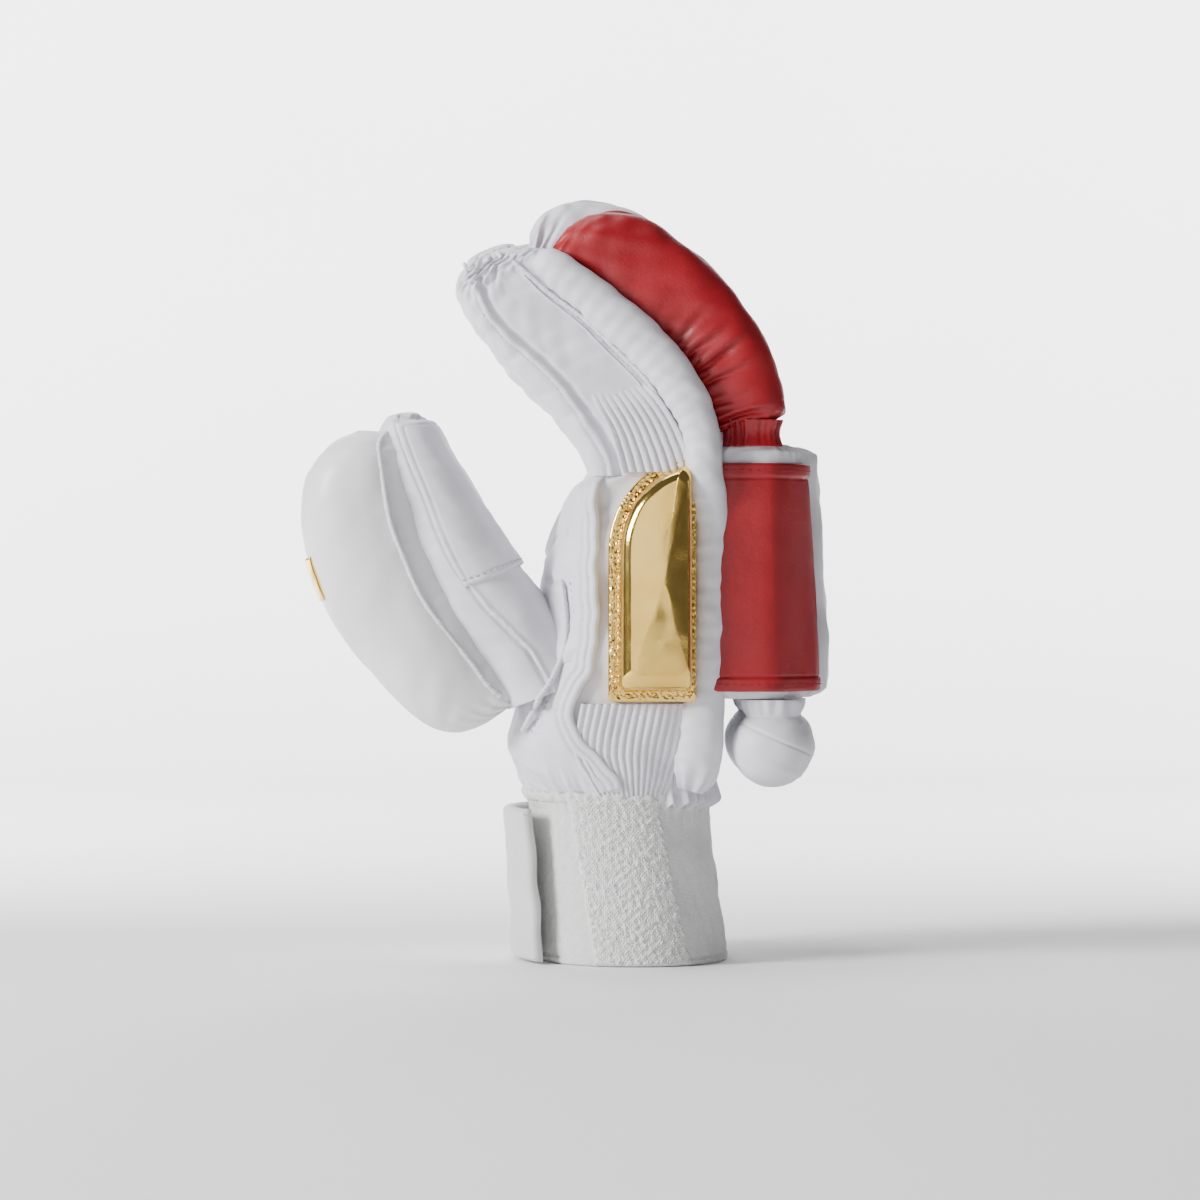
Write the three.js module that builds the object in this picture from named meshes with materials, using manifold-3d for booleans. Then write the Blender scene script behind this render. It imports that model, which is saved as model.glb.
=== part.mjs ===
// Right-hand cricket batting glove, standing on its cuff, in millimetres.
// +Z runs from the wrist to the fingers, +X is the back of the hand, -Y is the thumb side.
// The origin is the centre of the wrist opening, on the plane that the cuff stands on.
import * as THREE from 'three';
import Module from 'manifold-3d';

const wasm = await Module();
wasm.setup();

// Facets round each lofted piece
const palmSides = 30;
const cuffSides = 32;
const thumbSides = 20;
const fingerSides = 12;
const rollSides = 12;
const barSides = 10;
const ballSides = 10;
const flapSides = 20;
const protectorSides = 16;
const palmHollowSides = 22;
const thumbHollowSides = 16;
const fingerHollowSides = 10;

// How square each kind of section is: 2 is an ellipse
const cuffPower = 2.3;
const upperRollPower = 2.7;
const backRollPower = 4.2;
const flapPower = 3;
const barPower = 2.3;
const thumbPower = 2.4;
const protectorPower = 2.3;

// Seams and walls
const seamGap = 0.4;
const leatherWall = 2;
const cuffWall = 3;

// Cuff, with the strap round it
const cuffHeight = 57;
const cuffDepth = 65;
const cuffWidth = 76;
const cuffTopDepth = 61;
const cuffTopWidth = 73;
const cuffTopShift = -4.7;
const cuffFootShift = 1;
const terryThickness = 1.2;
const strapHeight = 49;
const strapThickness = 4;
const strapLift = 5.2;
const strapFoot = 2;

// Hand
const fingerWidth = 23;
const fingerGap = 1;
const palmHeight = 109;
const palmDepth = 66;

// Fingers
const fingerReach = 62;
const fingerRise = 78;
const rollThickness = 28.5;
const rollSink = 5;
const pleatDepth = 0.9;
const pleatSideDepth = 0.3;
const pleatedShare = 0.6;

// Rolls on the back of the hand, and their round ends
const backRollLength = 86;
const backRollDepth = 27.5;
const backRollLean = 5;
const backCrown = 4;
const knuckleRise = 11;
const wrapThickness = 1.3;
const wrapLength = 77;
const wrapStart = 2.5;
const ballDiameter = 27.6;
const neckDepth = 21;
const neckHeight = 4.9;
const ballInset = 1.3;
const flapHeight = 3;
const flapDepth = 22;
const flapInset = 1;
const flapTaper = 1;
const flapFrill = 0.5;
const flapWaves = 6;

// Long padded bars down the two sides of the hand
const barWidth = 13;
const barHeight = 13;
const barOutset = 1;

// Plate on the thumb side
const plateLength = 83;
const plateWidth = 29.5;
const plateFlange = 3.7;
const plateSeat = 1;
const plateThickness = 1.6;
const plateRise = 7;
const plateSink = 6;
const plateShoulder = 4.5;

// Thumb
const thumbReach = 88;
const thumbRise = 129;
const thumbWidth = 39;
const thumbPatchThickness = 1.2;
const protectorThickness = 34.5;
const protectorWidth = 40;
const protectorSink = 9;
const thumbMouth = 4;

// Ribbed knit and gathers
const knitThickness = 1.3;
const ribDepth = 0.7;
const ribPitch = 2.5;
const innerRibPitch = 4;
const ruffleHeight = 7;
const ruffleDepth = 1.3;
const ruffleThickness = 3;
const ruffleWaves = 10;

// Worked out from the sizes above
const fingerPitch = fingerWidth + fingerGap;
const handWidth = 4 * fingerWidth + 3 * fingerGap;
const knuckleZ = cuffHeight + palmHeight;
const backRollTop = knuckleZ + knuckleRise;
const backRollBottom = backRollTop - backRollLength;

const whiteLeather = { color: 0xe9e8ee, roughness: 0.5, metalness: 0 };
const redLeather = { color: 0xa81f2b, roughness: 0.38, metalness: 0 };
const goldFoil = { color: 0xd9a93f, roughness: 0.16, metalness: 1 };
const whiteKnit = { color: 0xe4e2e8, roughness: 0.85, metalness: 0 };
const whiteTerry = { color: 0xe6e3e0, roughness: 0.95, metalness: 0 };

// A section is a rounded box between its inner and its outer edge, which both lie in the
// plane of X and Z. Its half width runs along Y. Angle 0 is the outer edge, -90 the thumb side.
function sectionPoint(row, angle, grow) {
  const spanX = row.outX - row.inX;
  const spanZ = row.outZ - row.inZ;
  const span = Math.hypot(spanX, spanZ);
  const across = bulge(Math.cos(angle), row.power) * (0.5 + grow / span);
  const side = bulge(Math.sin(angle), row.power) * (row.half + grow);
  const x = (row.inX + row.outX) / 2 + spanX * across;
  const z = (row.inZ + row.outZ) / 2 + spanZ * across;
  return new THREE.Vector3(x, row.y + side, z);
}

function bulge(value, power) {
  return Math.sign(value) * Math.abs(value) ** (2 / power);
}

// The section at a place between two rows of a table, on a smooth curve through the rows
function rowAt(rows, place) {
  const index = Math.max(0, Math.min(Math.floor(place), rows.length - 2));
  const share = place - index;
  const near = [index - 1, index, index + 1, index + 2];
  const held = near.map((item) => rows[Math.max(0, Math.min(item, rows.length - 1))]);
  const row = {};
  for (const column of Object.keys(rows[0])) {
    const [before, start, end, after] = held.map((item) => item[column]);
    const slopeStart = (end - before) / 2;
    const slopeEnd = (after - start) / 2;
    const change = end - start;
    const third = slopeStart + slopeEnd - 2 * change;
    const second = 3 * change - 2 * slopeStart - slopeEnd;
    row[column] = start + share * (slopeStart + share * (second + share * third));
  }
  return row;
}

// The outer edge of a lofted piece at a place, with the direction square to it
function outerEdge(rows, place) {
  const here = rowAt(rows, place);
  const before = rowAt(rows, Math.max(place - 0.2, 0));
  const after = rowAt(rows, Math.min(place + 0.2, rows.length - 1));
  const along = new THREE.Vector2(after.outX - before.outX, after.outZ - before.outZ).normalize();
  const normal = new THREE.Vector2(along.y, -along.x);
  const outward = new THREE.Vector2(here.outX - here.inX, here.outZ - here.inZ);
  if (normal.dot(outward) < 0) {
    normal.negate();
  }
  return { x: here.outX, y: here.y, z: here.outZ, normal };
}

// Rings of points, each running out along one side and back along the other, become a closed
// solid. The ends are closed by strips from side to side.
function skin(rings) {
  const count = rings[0].length;
  const points = rings.flat();
  const faces = [];
  for (let ring = 0; ring < rings.length - 1; ring += 1) {
    for (let item = 0; item < count; item += 1) {
      const next = (item + 1) % count;
      const here = ring * count;
      const above = here + count;
      faces.push([here + item, here + next, above + next]);
      faces.push([here + item, above + next, above + item]);
    }
  }
  const last = (rings.length - 1) * count;
  for (let item = 0; item < count / 2 - 1; item += 1) {
    const mate = count - 1 - item;
    faces.push([item, mate, mate - 1]);
    faces.push([item, mate - 1, item + 1]);
    faces.push([last + item, last + mate - 1, last + mate]);
    faces.push([last + item, last + item + 1, last + mate - 1]);
  }
  return closedSolid(points, faces);
}

// A closed solid from points and triangles, turned so that its faces point outwards
function closedSolid(points, faces) {
  let volume = 0;
  for (const [a, b, c] of faces) {
    volume += points[a].dot(new THREE.Vector3().crossVectors(points[b], points[c]));
  }
  const outward = volume > 0 ? faces : faces.map(([a, b, c]) => [a, c, b]);
  return new wasm.Manifold(new wasm.Mesh({
    numProp: 3,
    vertProperties: new Float32Array(points.flatMap((point) => point.toArray())),
    triVerts: new Uint32Array(outward.flat()),
  }));
}

// A solid lofted through a table of sections. It may be grown or shrunk all round, moved
// out at its two ends, and gathered into waves round its edge.
function loft(rows, options) {
  const { sides, grow = 0, startGrow = grow, endGrow = grow, waves = 0, depth = 0 } = options;
  const last = rows.length - 1;
  const rings = rows.map((row) => {
    const ring = [];
    for (let side = 0; side < sides; side += 1) {
      const angle = 2 * Math.PI * (side + 0.5) / sides;
      ring.push(sectionPoint(row, angle, grow + depth * Math.cos(waves * angle)));
    }
    return ring;
  });
  pushEnd(rings[0], rows[0], rows[1], startGrow);
  pushEnd(rings[last], rows[last], rows[last - 1], endGrow);
  return skin(rings);
}

function pushEnd(ring, end, next, distance) {
  const away = new THREE.Vector3(
    (end.inX + end.outX - next.inX - next.outX) / 2,
    end.y - next.y,
    (end.inZ + end.outZ - next.inZ - next.outZ) / 2,
  );
  away.setLength(distance);
  ring.forEach((point) => point.add(away));
}

// A point on the flat facets of a lofted piece, at a place between its rows
function facetPoint(rows, place, angle, grow, sides) {
  const index = Math.max(0, Math.min(Math.floor(place), rows.length - 2));
  const turn = angle / (2 * Math.PI) * sides - 0.5;
  const side = Math.floor(turn);
  const angles = [side, side + 1].map((item) => 2 * Math.PI * (item + 0.5) / sides);
  const [low, high] = [rows[index], rows[index + 1]].map((row) => {
    const [start, end] = angles.map((item) => sectionPoint(row, item, grow));
    return start.lerp(end, turn - side);
  });
  return low.lerp(high, place - index);
}

// A sheet that lies on the facets of a lofted piece, from one angle to another at each place
// of its table. Its lift and thickness may change across, for ribs, waves and lifted ends.
function sheet(rows, table, options) {
  const { across, sides, lift = () => seamGap, thickness } = options;
  const first = table[0].place;
  const final = table[table.length - 1].place;
  const places = table.map((line) => line.place);
  for (let place = Math.ceil(first); place < final; place += 1) {
    places.push(place);
  }
  const sorted = [...new Set(places)].sort((a, b) => a - b);
  const rings = sorted.map((place) => {
    const high = Math.max(1, table.findIndex((line) => line.place >= place));
    const [start, end] = [table[high - 1], table[high]];
    const along = (place - start.place) / (end.place - start.place);
    const from = THREE.MathUtils.lerp(start.from, end.from, along);
    const to = THREE.MathUtils.lerp(start.to, end.to, along);
    const over = [];
    const under = [];
    for (let item = 0; item <= across; item += 1) {
      const share = item / across;
      const angle = from + (to - from) * share;
      const bottom = lift(share);
      under.unshift(facetPoint(rows, place, angle, bottom, sides));
      over.push(facetPoint(rows, place, angle, bottom + thickness(share), sides));
    }
    return [...over, ...under];
  });
  return skin(rings);
}

// The angle on the thumb side, or the other side, that lies at a share of a section's depth
function sideAngle(row, share, side) {
  return side * Math.acos(Math.sign(share) * Math.abs(share) ** (row.power / 2));
}

function cutAway(body, ...tools) {
  return tools.reduce((left, tool) => left.subtract(tool), body);
}

// The largest body of a solid, without the slivers that a cut leaves beside it
function mainBody(solid) {
  const bodies = solid.decompose();
  return bodies.reduce((best, body) => (body.volume() > best.volume() ? body : best));
}

function blockBetween(low, high) {
  const size = new THREE.Vector3().subVectors(high, low);
  const geometry = new THREE.BoxGeometry(size.x, size.y, size.z);
  geometry.translate((low.x + high.x) / 2, (low.y + high.y) / 2, (low.z + high.z) / 2);
  const place = geometry.getAttribute('position');
  const corners = [];
  const faces = [];
  const seen = new Map();
  const order = [...geometry.index.array].map((item) => {
    const point = new THREE.Vector3().fromBufferAttribute(place, item);
    const key = point.toArray().join();
    if (!seen.has(key)) {
      seen.set(key, corners.push(point) - 1);
    }
    return seen.get(key);
  });
  for (let item = 0; item < order.length; item += 3) {
    faces.push(order.slice(item, item + 3));
  }
  return closedSolid(corners, faces);
}

const glove = new THREE.Group();

function addPiece(name, solid, material) {
  const body = mainBody(solid);
  const { vertProperties, triVerts } = body.getMesh();
  const geometry = new THREE.BufferGeometry();
  geometry.setAttribute('position', new THREE.BufferAttribute(vertProperties, 3));
  geometry.setIndex(new THREE.BufferAttribute(triVerts, 1));
  geometry.computeVertexNormals();
  const piece = new THREE.Mesh(geometry, new THREE.MeshStandardMaterial(material));
  piece.name = name;
  glove.add(piece);
  return body;
}

// Cuff: a ring whose top leans towards the palm
const cuffRows = [0, 1].map((share) => {
  const middle = cuffFootShift + (cuffTopShift - cuffFootShift) * share;
  const depth = cuffDepth + (cuffTopDepth - cuffDepth) * share;
  const width = cuffWidth + (cuffTopWidth - cuffWidth) * share;
  const z = cuffHeight * share;
  return {
    inX: middle - depth / 2, inZ: z, outX: middle + depth / 2, outZ: z,
    y: 0, half: width / 2, power: cuffPower,
  };
});
const cuffTop = cuffRows[1];

// Palm: sections from the cuff to the knuckles. Height is a share of the palm's height,
// middle and depth are shares of its depth, and width is a share of the hand's width.
const palmTable = [
  { height: 0.07, middle: -0.085, depth: 1.04, width: 0.82, power: 2.4 },
  { height: 0.17, middle: -0.09, depth: 1.12, width: 0.88, power: 2.7 },
  { height: 0.32, middle: -0.045, depth: 1.06, width: 0.95, power: 3.0 },
  { height: 0.53, middle: 0.01, depth: 1.0, width: 0.99, power: 3.0 },
  { height: 0.71, middle: 0.03, depth: 0.98, width: 1.0, power: 3.1 },
  { height: 0.83, middle: 0.045, depth: 0.93, width: 1.0, power: 3.4 },
  { height: 0.9, middle: 0.065, depth: 0.87, width: 1.0, power: 3.9 },
  { height: 0.965, middle: 0.1, depth: 0.78, width: 1.0, power: 4.8 },
  { height: 1.0, middle: 0.135, depth: 0.69, width: 1.0, power: 5.6 },
];
const palmFoot = { ...cuffTop, inZ: cuffHeight + seamGap, outZ: cuffHeight + seamGap };
const palmRows = [palmFoot, ...palmTable.map((line) => {
  const middle = line.middle * palmDepth;
  const reach = line.depth * palmDepth / 2;
  const z = cuffHeight + line.height * palmHeight;
  return {
    inX: middle - reach, inZ: z, outX: middle + reach, outZ: z,
    y: 0, half: line.width * handWidth / 2, power: line.power,
  };
})];
const palmTop = palmRows[palmRows.length - 1];
const palmBack = Math.max(...palmRows.map((row) => row.outX));

// Fingers: the palm edge and the back edge curl forwards from the knuckles. Reach and rise
// are shares of the finger's reach and rise, and width is a share of the finger's width.
const fingerTable = [
  { palmReach: 0, palmRise: 0, backReach: 0, backRise: 0, width: 1.0, power: 4.6 },
  { palmReach: 0.05, palmRise: 0.1, backReach: 0.01, backRise: 0.17, width: 1.0, power: 4.0 },
  { palmReach: 0.14, palmRise: 0.21, backReach: 0.08, backRise: 0.34, width: 0.99, power: 3.4 },
  { palmReach: 0.265, palmRise: 0.335, backReach: 0.21, backRise: 0.505, width: 0.97, power: 3.1 },
  { palmReach: 0.4, palmRise: 0.445, backReach: 0.41, backRise: 0.66, width: 0.95, power: 3.0 },
  { palmReach: 0.545, palmRise: 0.56, backReach: 0.64, backRise: 0.815, width: 0.92, power: 3.0 },
  { palmReach: 0.66, palmRise: 0.68, backReach: 0.835, backRise: 0.925, width: 0.88, power: 3.0 },
  { palmReach: 0.715, palmRise: 0.805, backReach: 0.985, backRise: 0.985, width: 0.8, power: 3.0 },
  { palmReach: 0.66, palmRise: 0.9, backReach: 1.11, backRise: 0.985, width: 0.58, power: 2.6 },
];

// Slot is the finger's place across the hand, in pitches from the middle. Length is a share of
// the reach and rise, crown a share of the back's crown, and tip is how far the roll runs on.
const fingers = [
  { name: 'index', slot: -1.5, length: 1, crown: 0, tip: 0 },
  { name: 'middle', slot: -0.5, length: 1.045, crown: 1.5, tip: 0.6 },
  { name: 'ring', slot: 0.5, length: 1.01, crown: 1.3, tip: 0.5 },
  { name: 'little', slot: 1.5, length: 0.88, crown: -0.2, tip: 0.1 },
];

function fingerRows(finger) {
  const reach = fingerReach * finger.length;
  const rise = fingerRise * finger.length;
  const root = knuckleZ + seamGap;
  return fingerTable.map((line) => ({
    inX: palmTop.inX - line.palmReach * reach,
    inZ: root + line.palmRise * rise,
    outX: palmTop.outX - line.backReach * reach,
    outZ: root + line.backRise * rise,
    y: finger.slot * fingerPitch,
    half: line.width * fingerWidth / 2,
    power: line.power,
  }));
}

// Upper rolls: place is a row of the finger's table, thick is a share of the roll's
// thickness, and width is a share of the finger's width.
const upperRollTable = [
  { place: 1.12, thick: 0.56, width: 0.66 },
  { place: 1.22, thick: 0.76, width: 0.88 },
  { place: 1.55, thick: 0.84, width: 0.99 },
  { place: 2.1, thick: 0.88, width: 1.0 },
  { place: 3.0, thick: 0.94, width: 1.0 },
  { place: 4.0, thick: 1.0, width: 1.0 },
  { place: 5.0, thick: 0.95, width: 0.99 },
  { place: 5.7, thick: 0.82, width: 0.96 },
  { place: 6.2, thick: 0.62, width: 0.9 },
  { place: 6.55, thick: 0.36, width: 0.78 },
  { place: 6.72, thick: 0.12, width: 0.55 },
];

function upperRollRows(rows, finger) {
  const first = upperRollTable[0].place;
  const last = upperRollTable[upperRollTable.length - 1].place;
  return upperRollTable.map((line) => {
    const reach = (line.place - first) / (last - first);
    const edge = outerEdge(rows, line.place + finger.tip * reach ** 3);
    const top = line.thick * rollThickness;
    return {
      inX: edge.x - edge.normal.x * rollSink,
      inZ: edge.z - edge.normal.y * rollSink,
      outX: edge.x + edge.normal.x * top,
      outZ: edge.z + edge.normal.y * top,
      y: edge.y,
      half: line.width * fingerWidth / 2,
      power: upperRollPower,
    };
  });
}

// Pleats: a roll is drawn in between its rows, from its lower end to past the bend
function pleated(rows) {
  return rows.flatMap((row, place) => {
    if (place === 0 || place > rows.length * pleatedShare) {
      return [row];
    }
    const drawn = rowAt(rows, place - 0.5);
    const span = Math.hypot(drawn.outX - drawn.inX, drawn.outZ - drawn.inZ);
    drawn.outX -= pleatDepth * (drawn.outX - drawn.inX) / span;
    drawn.outZ -= pleatDepth * (drawn.outZ - drawn.inZ) / span;
    drawn.half -= pleatSideDepth;
    return [drawn, row];
  });
}

// Back rolls: height is a share of the roll's length, and size is a share of its section.
const backRollTable = [
  { height: 0, size: 0.62 },
  { height: 0.025, size: 0.86 },
  { height: 0.08, size: 0.98 },
  { height: 0.3, size: 1.0 },
  { height: 0.65, size: 1.0 },
  { height: 0.93, size: 0.99 },
  { height: 0.98, size: 0.9 },
  { height: 1, size: 0.66 },
];

function backRollRows(finger, width) {
  const front = palmBack - backCrown - rollSink;
  return backRollTable.map((line) => {
    const lean = backRollLean * (1 - line.height);
    const back = palmBack + backCrown * (finger.crown - 1) + backRollDepth + lean;
    const middle = (front + back) / 2;
    const reach = (back - front) / 2 * line.size;
    const z = backRollBottom + line.height * backRollLength;
    return {
      inX: middle - reach, inZ: z, outX: middle + reach, outZ: z,
      y: finger.slot * fingerPitch, half: width / 2 * line.size, power: backRollPower,
    };
  });
}

// Round end under a back roll: a ball, whose top runs into a short neck with a waist. The
// waist is a share of the neck's depth, at a share of its height.
const ballTurns = [-75, -50, -25, 0, 25, 45];
const ballUnderNeck = 0.8;
const neckWaist = 0.88;
const neckWaistPlace = 0.6;

function ballRows(finger) {
  const radius = ballDiameter / 2;
  const rollBack = palmBack + backCrown * (finger.crown - 1) + backRollDepth + backRollLean;
  const middle = rollBack - ballInset - radius;
  const neckTop = backRollBottom - seamGap;
  const centre = neckTop - neckHeight - radius * ballUnderNeck;
  const rows = ballTurns.map((turn) => {
    const angle = THREE.MathUtils.degToRad(turn);
    return { z: centre + radius * Math.sin(angle), reach: radius * Math.cos(angle) };
  });
  rows.push({ z: neckTop - neckHeight * neckWaistPlace, reach: neckDepth / 2 * neckWaist });
  rows.push({ z: neckTop, reach: neckDepth / 2 });
  return rows.map(({ z, reach }) => ({
    inX: middle - reach, inZ: z, outX: middle + reach, outZ: z,
    y: finger.slot * fingerPitch, half: reach * fingerWidth / ballDiameter, power: 2,
  }));
}

// Gathered flap between a back roll and the upper roll above it
function flapRows(finger) {
  const front = palmTop.outX - rollSink / 2;
  const back = front + flapDepth + backCrown * Math.max(finger.crown, 0);
  const foot = backRollTop + seamGap;
  return [0, 1].map((share) => ({
    inX: front, inZ: foot + flapHeight * share,
    outX: back - flapTaper * share, outZ: foot + flapHeight * share,
    y: finger.slot * fingerPitch, half: (fingerWidth - flapTaper * share) / 2 - flapInset,
    power: flapPower,
  }));
}

// Side bars: height runs up the hand, as a share of the palm, and place runs up the finger.
// Width and thick are shares of the bar's width and height. Across and corner are where its
// middle lies on the hand's and the finger's depth and on the hand's half width.
const barHandTable = [
  { height: 0.03, width: 0.6, thick: 0.6 },
  { height: 0.07, width: 1.1, thick: 1.1 },
  { height: 0.14, width: 1.28, thick: 1.1 },
  { height: 0.3, width: 1.12, thick: 1.1 },
  { height: 0.5, width: 0.98, thick: 0.98 },
  { height: 0.8, width: 0.95, thick: 0.95 },
];
const barFingerTable = [
  { place: 0, width: 0.95, thick: 0.95 },
  { place: 1.2, width: 1.0, thick: 1.0 },
  { place: 2.4, width: 1.1, thick: 1.1 },
  { place: 3.6, width: 1.15, thick: 1.1 },
  { place: 4.8, width: 1.05, thick: 1.05 },
  { place: 5.8, width: 0.95, thick: 0.95 },
  { place: 6.4, width: 0.8, thick: 0.8 },
  { place: 6.75, width: 0.4, thick: 0.4 },
];
const barHandAcross = 0.89;
const barFingerAcross = 0.84;
const barCorner = 0.885;

function sideBarRows(rows, side) {
  const points = [];
  for (const line of barHandTable) {
    const row = palmRowAt(line.height);
    const x = row.inX + barHandAcross * (row.outX - row.inX);
    points.push({ ...line, x, y: side * row.half * barCorner, z: row.inZ });
  }
  for (const line of barFingerTable) {
    const row = rowAt(rows, line.place);
    const x = row.inX + barFingerAcross * (row.outX - row.inX);
    const z = row.inZ + barFingerAcross * (row.outZ - row.inZ);
    points.push({ ...line, x, y: row.y + side * (row.half + barOutset), z });
  }
  return points.map((point, index) => {
    const before = points[Math.max(index - 1, 0)];
    const after = points[Math.min(index + 1, points.length - 1)];
    const along = new THREE.Vector2(after.x - before.x, after.z - before.z).normalize();
    const reach = barWidth / 2 * point.width;
    return {
      inX: point.x - along.y * reach, inZ: point.z + along.x * reach,
      outX: point.x + along.y * reach, outZ: point.z - along.x * reach,
      y: point.y, half: barHeight / 2 * point.thick, power: barPower,
    };
  });
}

// The place in the palm's rows that lies at a share of its height, and the section there
function palmPlaceAt(height) {
  const z = cuffHeight + height * palmHeight;
  const high = Math.max(1, palmRows.findIndex((row) => row.inZ >= z));
  const low = palmRows[high - 1];
  return high - 1 + (z - low.inZ) / (palmRows[high].inZ - low.inZ);
}

function palmRowAt(height) {
  return rowAt(palmRows, palmPlaceAt(height));
}

// Thumb: the palm-facing edge and the back edge, from inside the palm to the tip. Reach and
// rise are shares of the thumb's, side is a share of the hand's width, width of the thumb's.
const thumbTable = [
  { palmReach: 0.159, palmRise: 0.318, backReach: 0.477, backRise: 0.233, side: -0.25, width: 1.0 },
  { palmReach: 0.25, palmRise: 0.426, backReach: 0.591, backRise: 0.345, side: -0.255, width: 1.0 },
  { palmReach: 0.352, palmRise: 0.543, backReach: 0.71, backRise: 0.465, side: -0.265, width: 0.98 },
  { palmReach: 0.437, palmRise: 0.62, backReach: 0.807, backRise: 0.574, side: -0.275, width: 0.93 },
  { palmReach: 0.523, palmRise: 0.709, backReach: 0.875, backRise: 0.69, side: -0.285, width: 0.87 },
  { palmReach: 0.614, palmRise: 0.806, backReach: 0.915, backRise: 0.798, side: -0.295, width: 0.82 },
  { palmReach: 0.705, palmRise: 0.907, backReach: 0.955, backRise: 0.891, side: -0.305, width: 0.76 },
  { palmReach: 0.765, palmRise: 0.98, backReach: 0.977, backRise: 0.965, side: -0.31, width: 0.66 },
  { palmReach: 0.82, palmRise: 1.01, backReach: 0.945, backRise: 1.0, side: -0.312, width: 0.42 },
];
const thumbRows = thumbTable.map((line) => ({
  inX: -line.palmReach * thumbReach,
  inZ: cuffHeight + line.palmRise * thumbRise,
  outX: -line.backReach * thumbReach,
  outZ: cuffHeight + line.backRise * thumbRise,
  y: line.side * handWidth,
  half: line.width * thumbWidth / 2,
  power: thumbPower,
}));

// Thumb protector: place is a row of the thumb's table, thick and width are shares of the
// protector's thickness and width.
const protectorTable = [
  { place: 0.05, thick: 0.26, width: 0.5 },
  { place: 0.25, thick: 0.52, width: 0.7 },
  { place: 0.6, thick: 0.72, width: 0.84 },
  { place: 1.1, thick: 0.83, width: 0.95 },
  { place: 2, thick: 0.91, width: 1.0 },
  { place: 3, thick: 0.98, width: 1.0 },
  { place: 4, thick: 1.0, width: 0.98 },
  { place: 5, thick: 0.95, width: 0.94 },
  { place: 5.9, thick: 0.84, width: 0.88 },
  { place: 6.45, thick: 0.68, width: 0.78 },
  { place: 6.8, thick: 0.46, width: 0.64 },
  { place: 7, thick: 0.2, width: 0.42 },
];
const protectorRows = protectorTable.map((line) => {
  const edge = outerEdge(thumbRows, line.place);
  const top = line.thick * protectorThickness;
  return {
    inX: edge.x - edge.normal.x * protectorSink,
    inZ: edge.z - edge.normal.y * protectorSink,
    outX: edge.x + edge.normal.x * top,
    outZ: edge.z + edge.normal.y * top,
    y: edge.y,
    half: line.width * protectorWidth / 2,
    power: protectorPower,
  };
});

// Plate: a straight back edge and foot, and a front edge that rounds over to the top from a
// share of its length. The outline is drawn inwards by a distance all round.
const plateStraightShare = 0.61;
const plateArcSteps = 7;
const plateArcPower = 1.1;

function plateOutline(inset) {
  const back = plateWidth - inset;
  const front = inset;
  const top = plateLength - inset;
  const straight = plateLength * plateStraightShare;
  const points = [[back, inset], [back, top]];
  for (let step = 1; step <= plateArcSteps; step += 1) {
    const angle = Math.PI / 2 * step / plateArcSteps;
    const x = back - (back - front) * Math.sin(angle) ** plateArcPower;
    points.push([x, straight + (top - straight) * Math.cos(angle)]);
  }
  points.push([front, inset]);
  return points;
}

const open = { startGrow: leatherWall, endGrow: leatherWall };
const palmHollow = loft(palmRows, { sides: palmHollowSides, grow: -leatherWall, ...open });
const palmGrown = loft(palmRows, { sides: palmSides, grow: seamGap });
const thumbHollow = loft(thumbRows, {
  sides: thumbHollowSides, grow: -leatherWall, startGrow: thumbMouth,
});
const thumbGrown = loft(thumbRows, { sides: thumbSides, grow: seamGap });

// Cuff pieces
const cuffBody = loft(cuffRows, { sides: cuffSides });
const cuffHollow = loft(cuffRows, { sides: cuffSides, grow: -cuffWall, ...open });
addPiece('cuff_band', cutAway(cuffBody, cuffHollow), whiteTerry);

const terryRows = [
  { place: 0.03, front: -0.4, back: 0.6 },
  { place: 0.5, front: -0.48, back: 0.5 },
  { place: 0.97, front: -0.56, back: 0.42 },
].map(({ place, front, back }) => ({
  place,
  from: sideAngle(rowAt(cuffRows, place), front, -1),
  to: sideAngle(rowAt(cuffRows, place), back, -1),
}));
addPiece('cuff_terry_panel', sheet(cuffRows, terryRows, {
  across: 8, sides: cuffSides, thickness: () => terryThickness,
}), whiteTerry);

// The strap lies on the cuff at the little-finger side and stands off it at the palm side.
// It starts and ends at facets of the cuff, and is lifted between two shares of its length.
const strapStart = 2 * Math.PI * 9.5 / cuffSides;
const strapEnd = 2 * Math.PI * 19.5 / cuffSides;
const strapLifted = [0.1, 0.65];
const strapPlaces = [strapFoot / cuffHeight, (strapFoot + strapHeight / 2) / cuffHeight,
  (strapFoot + strapHeight) / cuffHeight];
const strapRows = strapPlaces.map((place) => ({ place, from: strapStart, to: strapEnd }));
addPiece('wrist_strap', sheet(cuffRows, strapRows, {
  across: 10,
  sides: cuffSides,
  lift: (share) => seamGap + strapLift * THREE.MathUtils.smoothstep(share, ...strapLifted),
  thickness: () => strapThickness,
}), whiteLeather);

// Palm, thumb and fingers
addPiece('palm_shell', cutAway(loft(palmRows, { sides: palmSides }), palmHollow, thumbGrown),
  whiteLeather);
addPiece('thumb_tube', cutAway(loft(thumbRows, { sides: thumbSides }), thumbHollow, palmHollow),
  whiteLeather);

const padFrom = THREE.MathUtils.degToRad(79);
const padTo = THREE.MathUtils.degToRad(281);
const padRows = [3.0, 7.4].map((place) => ({ place, from: padFrom, to: padTo }));
addPiece('thumb_patch', sheet(thumbRows, padRows, {
  across: 11, sides: thumbSides, thickness: () => thumbPatchThickness,
}), whiteLeather);
addPiece('thumb_protector',
  cutAway(loft(protectorRows, { sides: protectorSides }), thumbGrown, palmGrown), whiteLeather);

const wrapFrom = backRollBottom + wrapStart;
const wideBlock = (low, high) => blockBetween(
  new THREE.Vector3(-handWidth, -handWidth, low),
  new THREE.Vector3(handWidth * 2, handWidth, high),
);
const seats = {};

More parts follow.
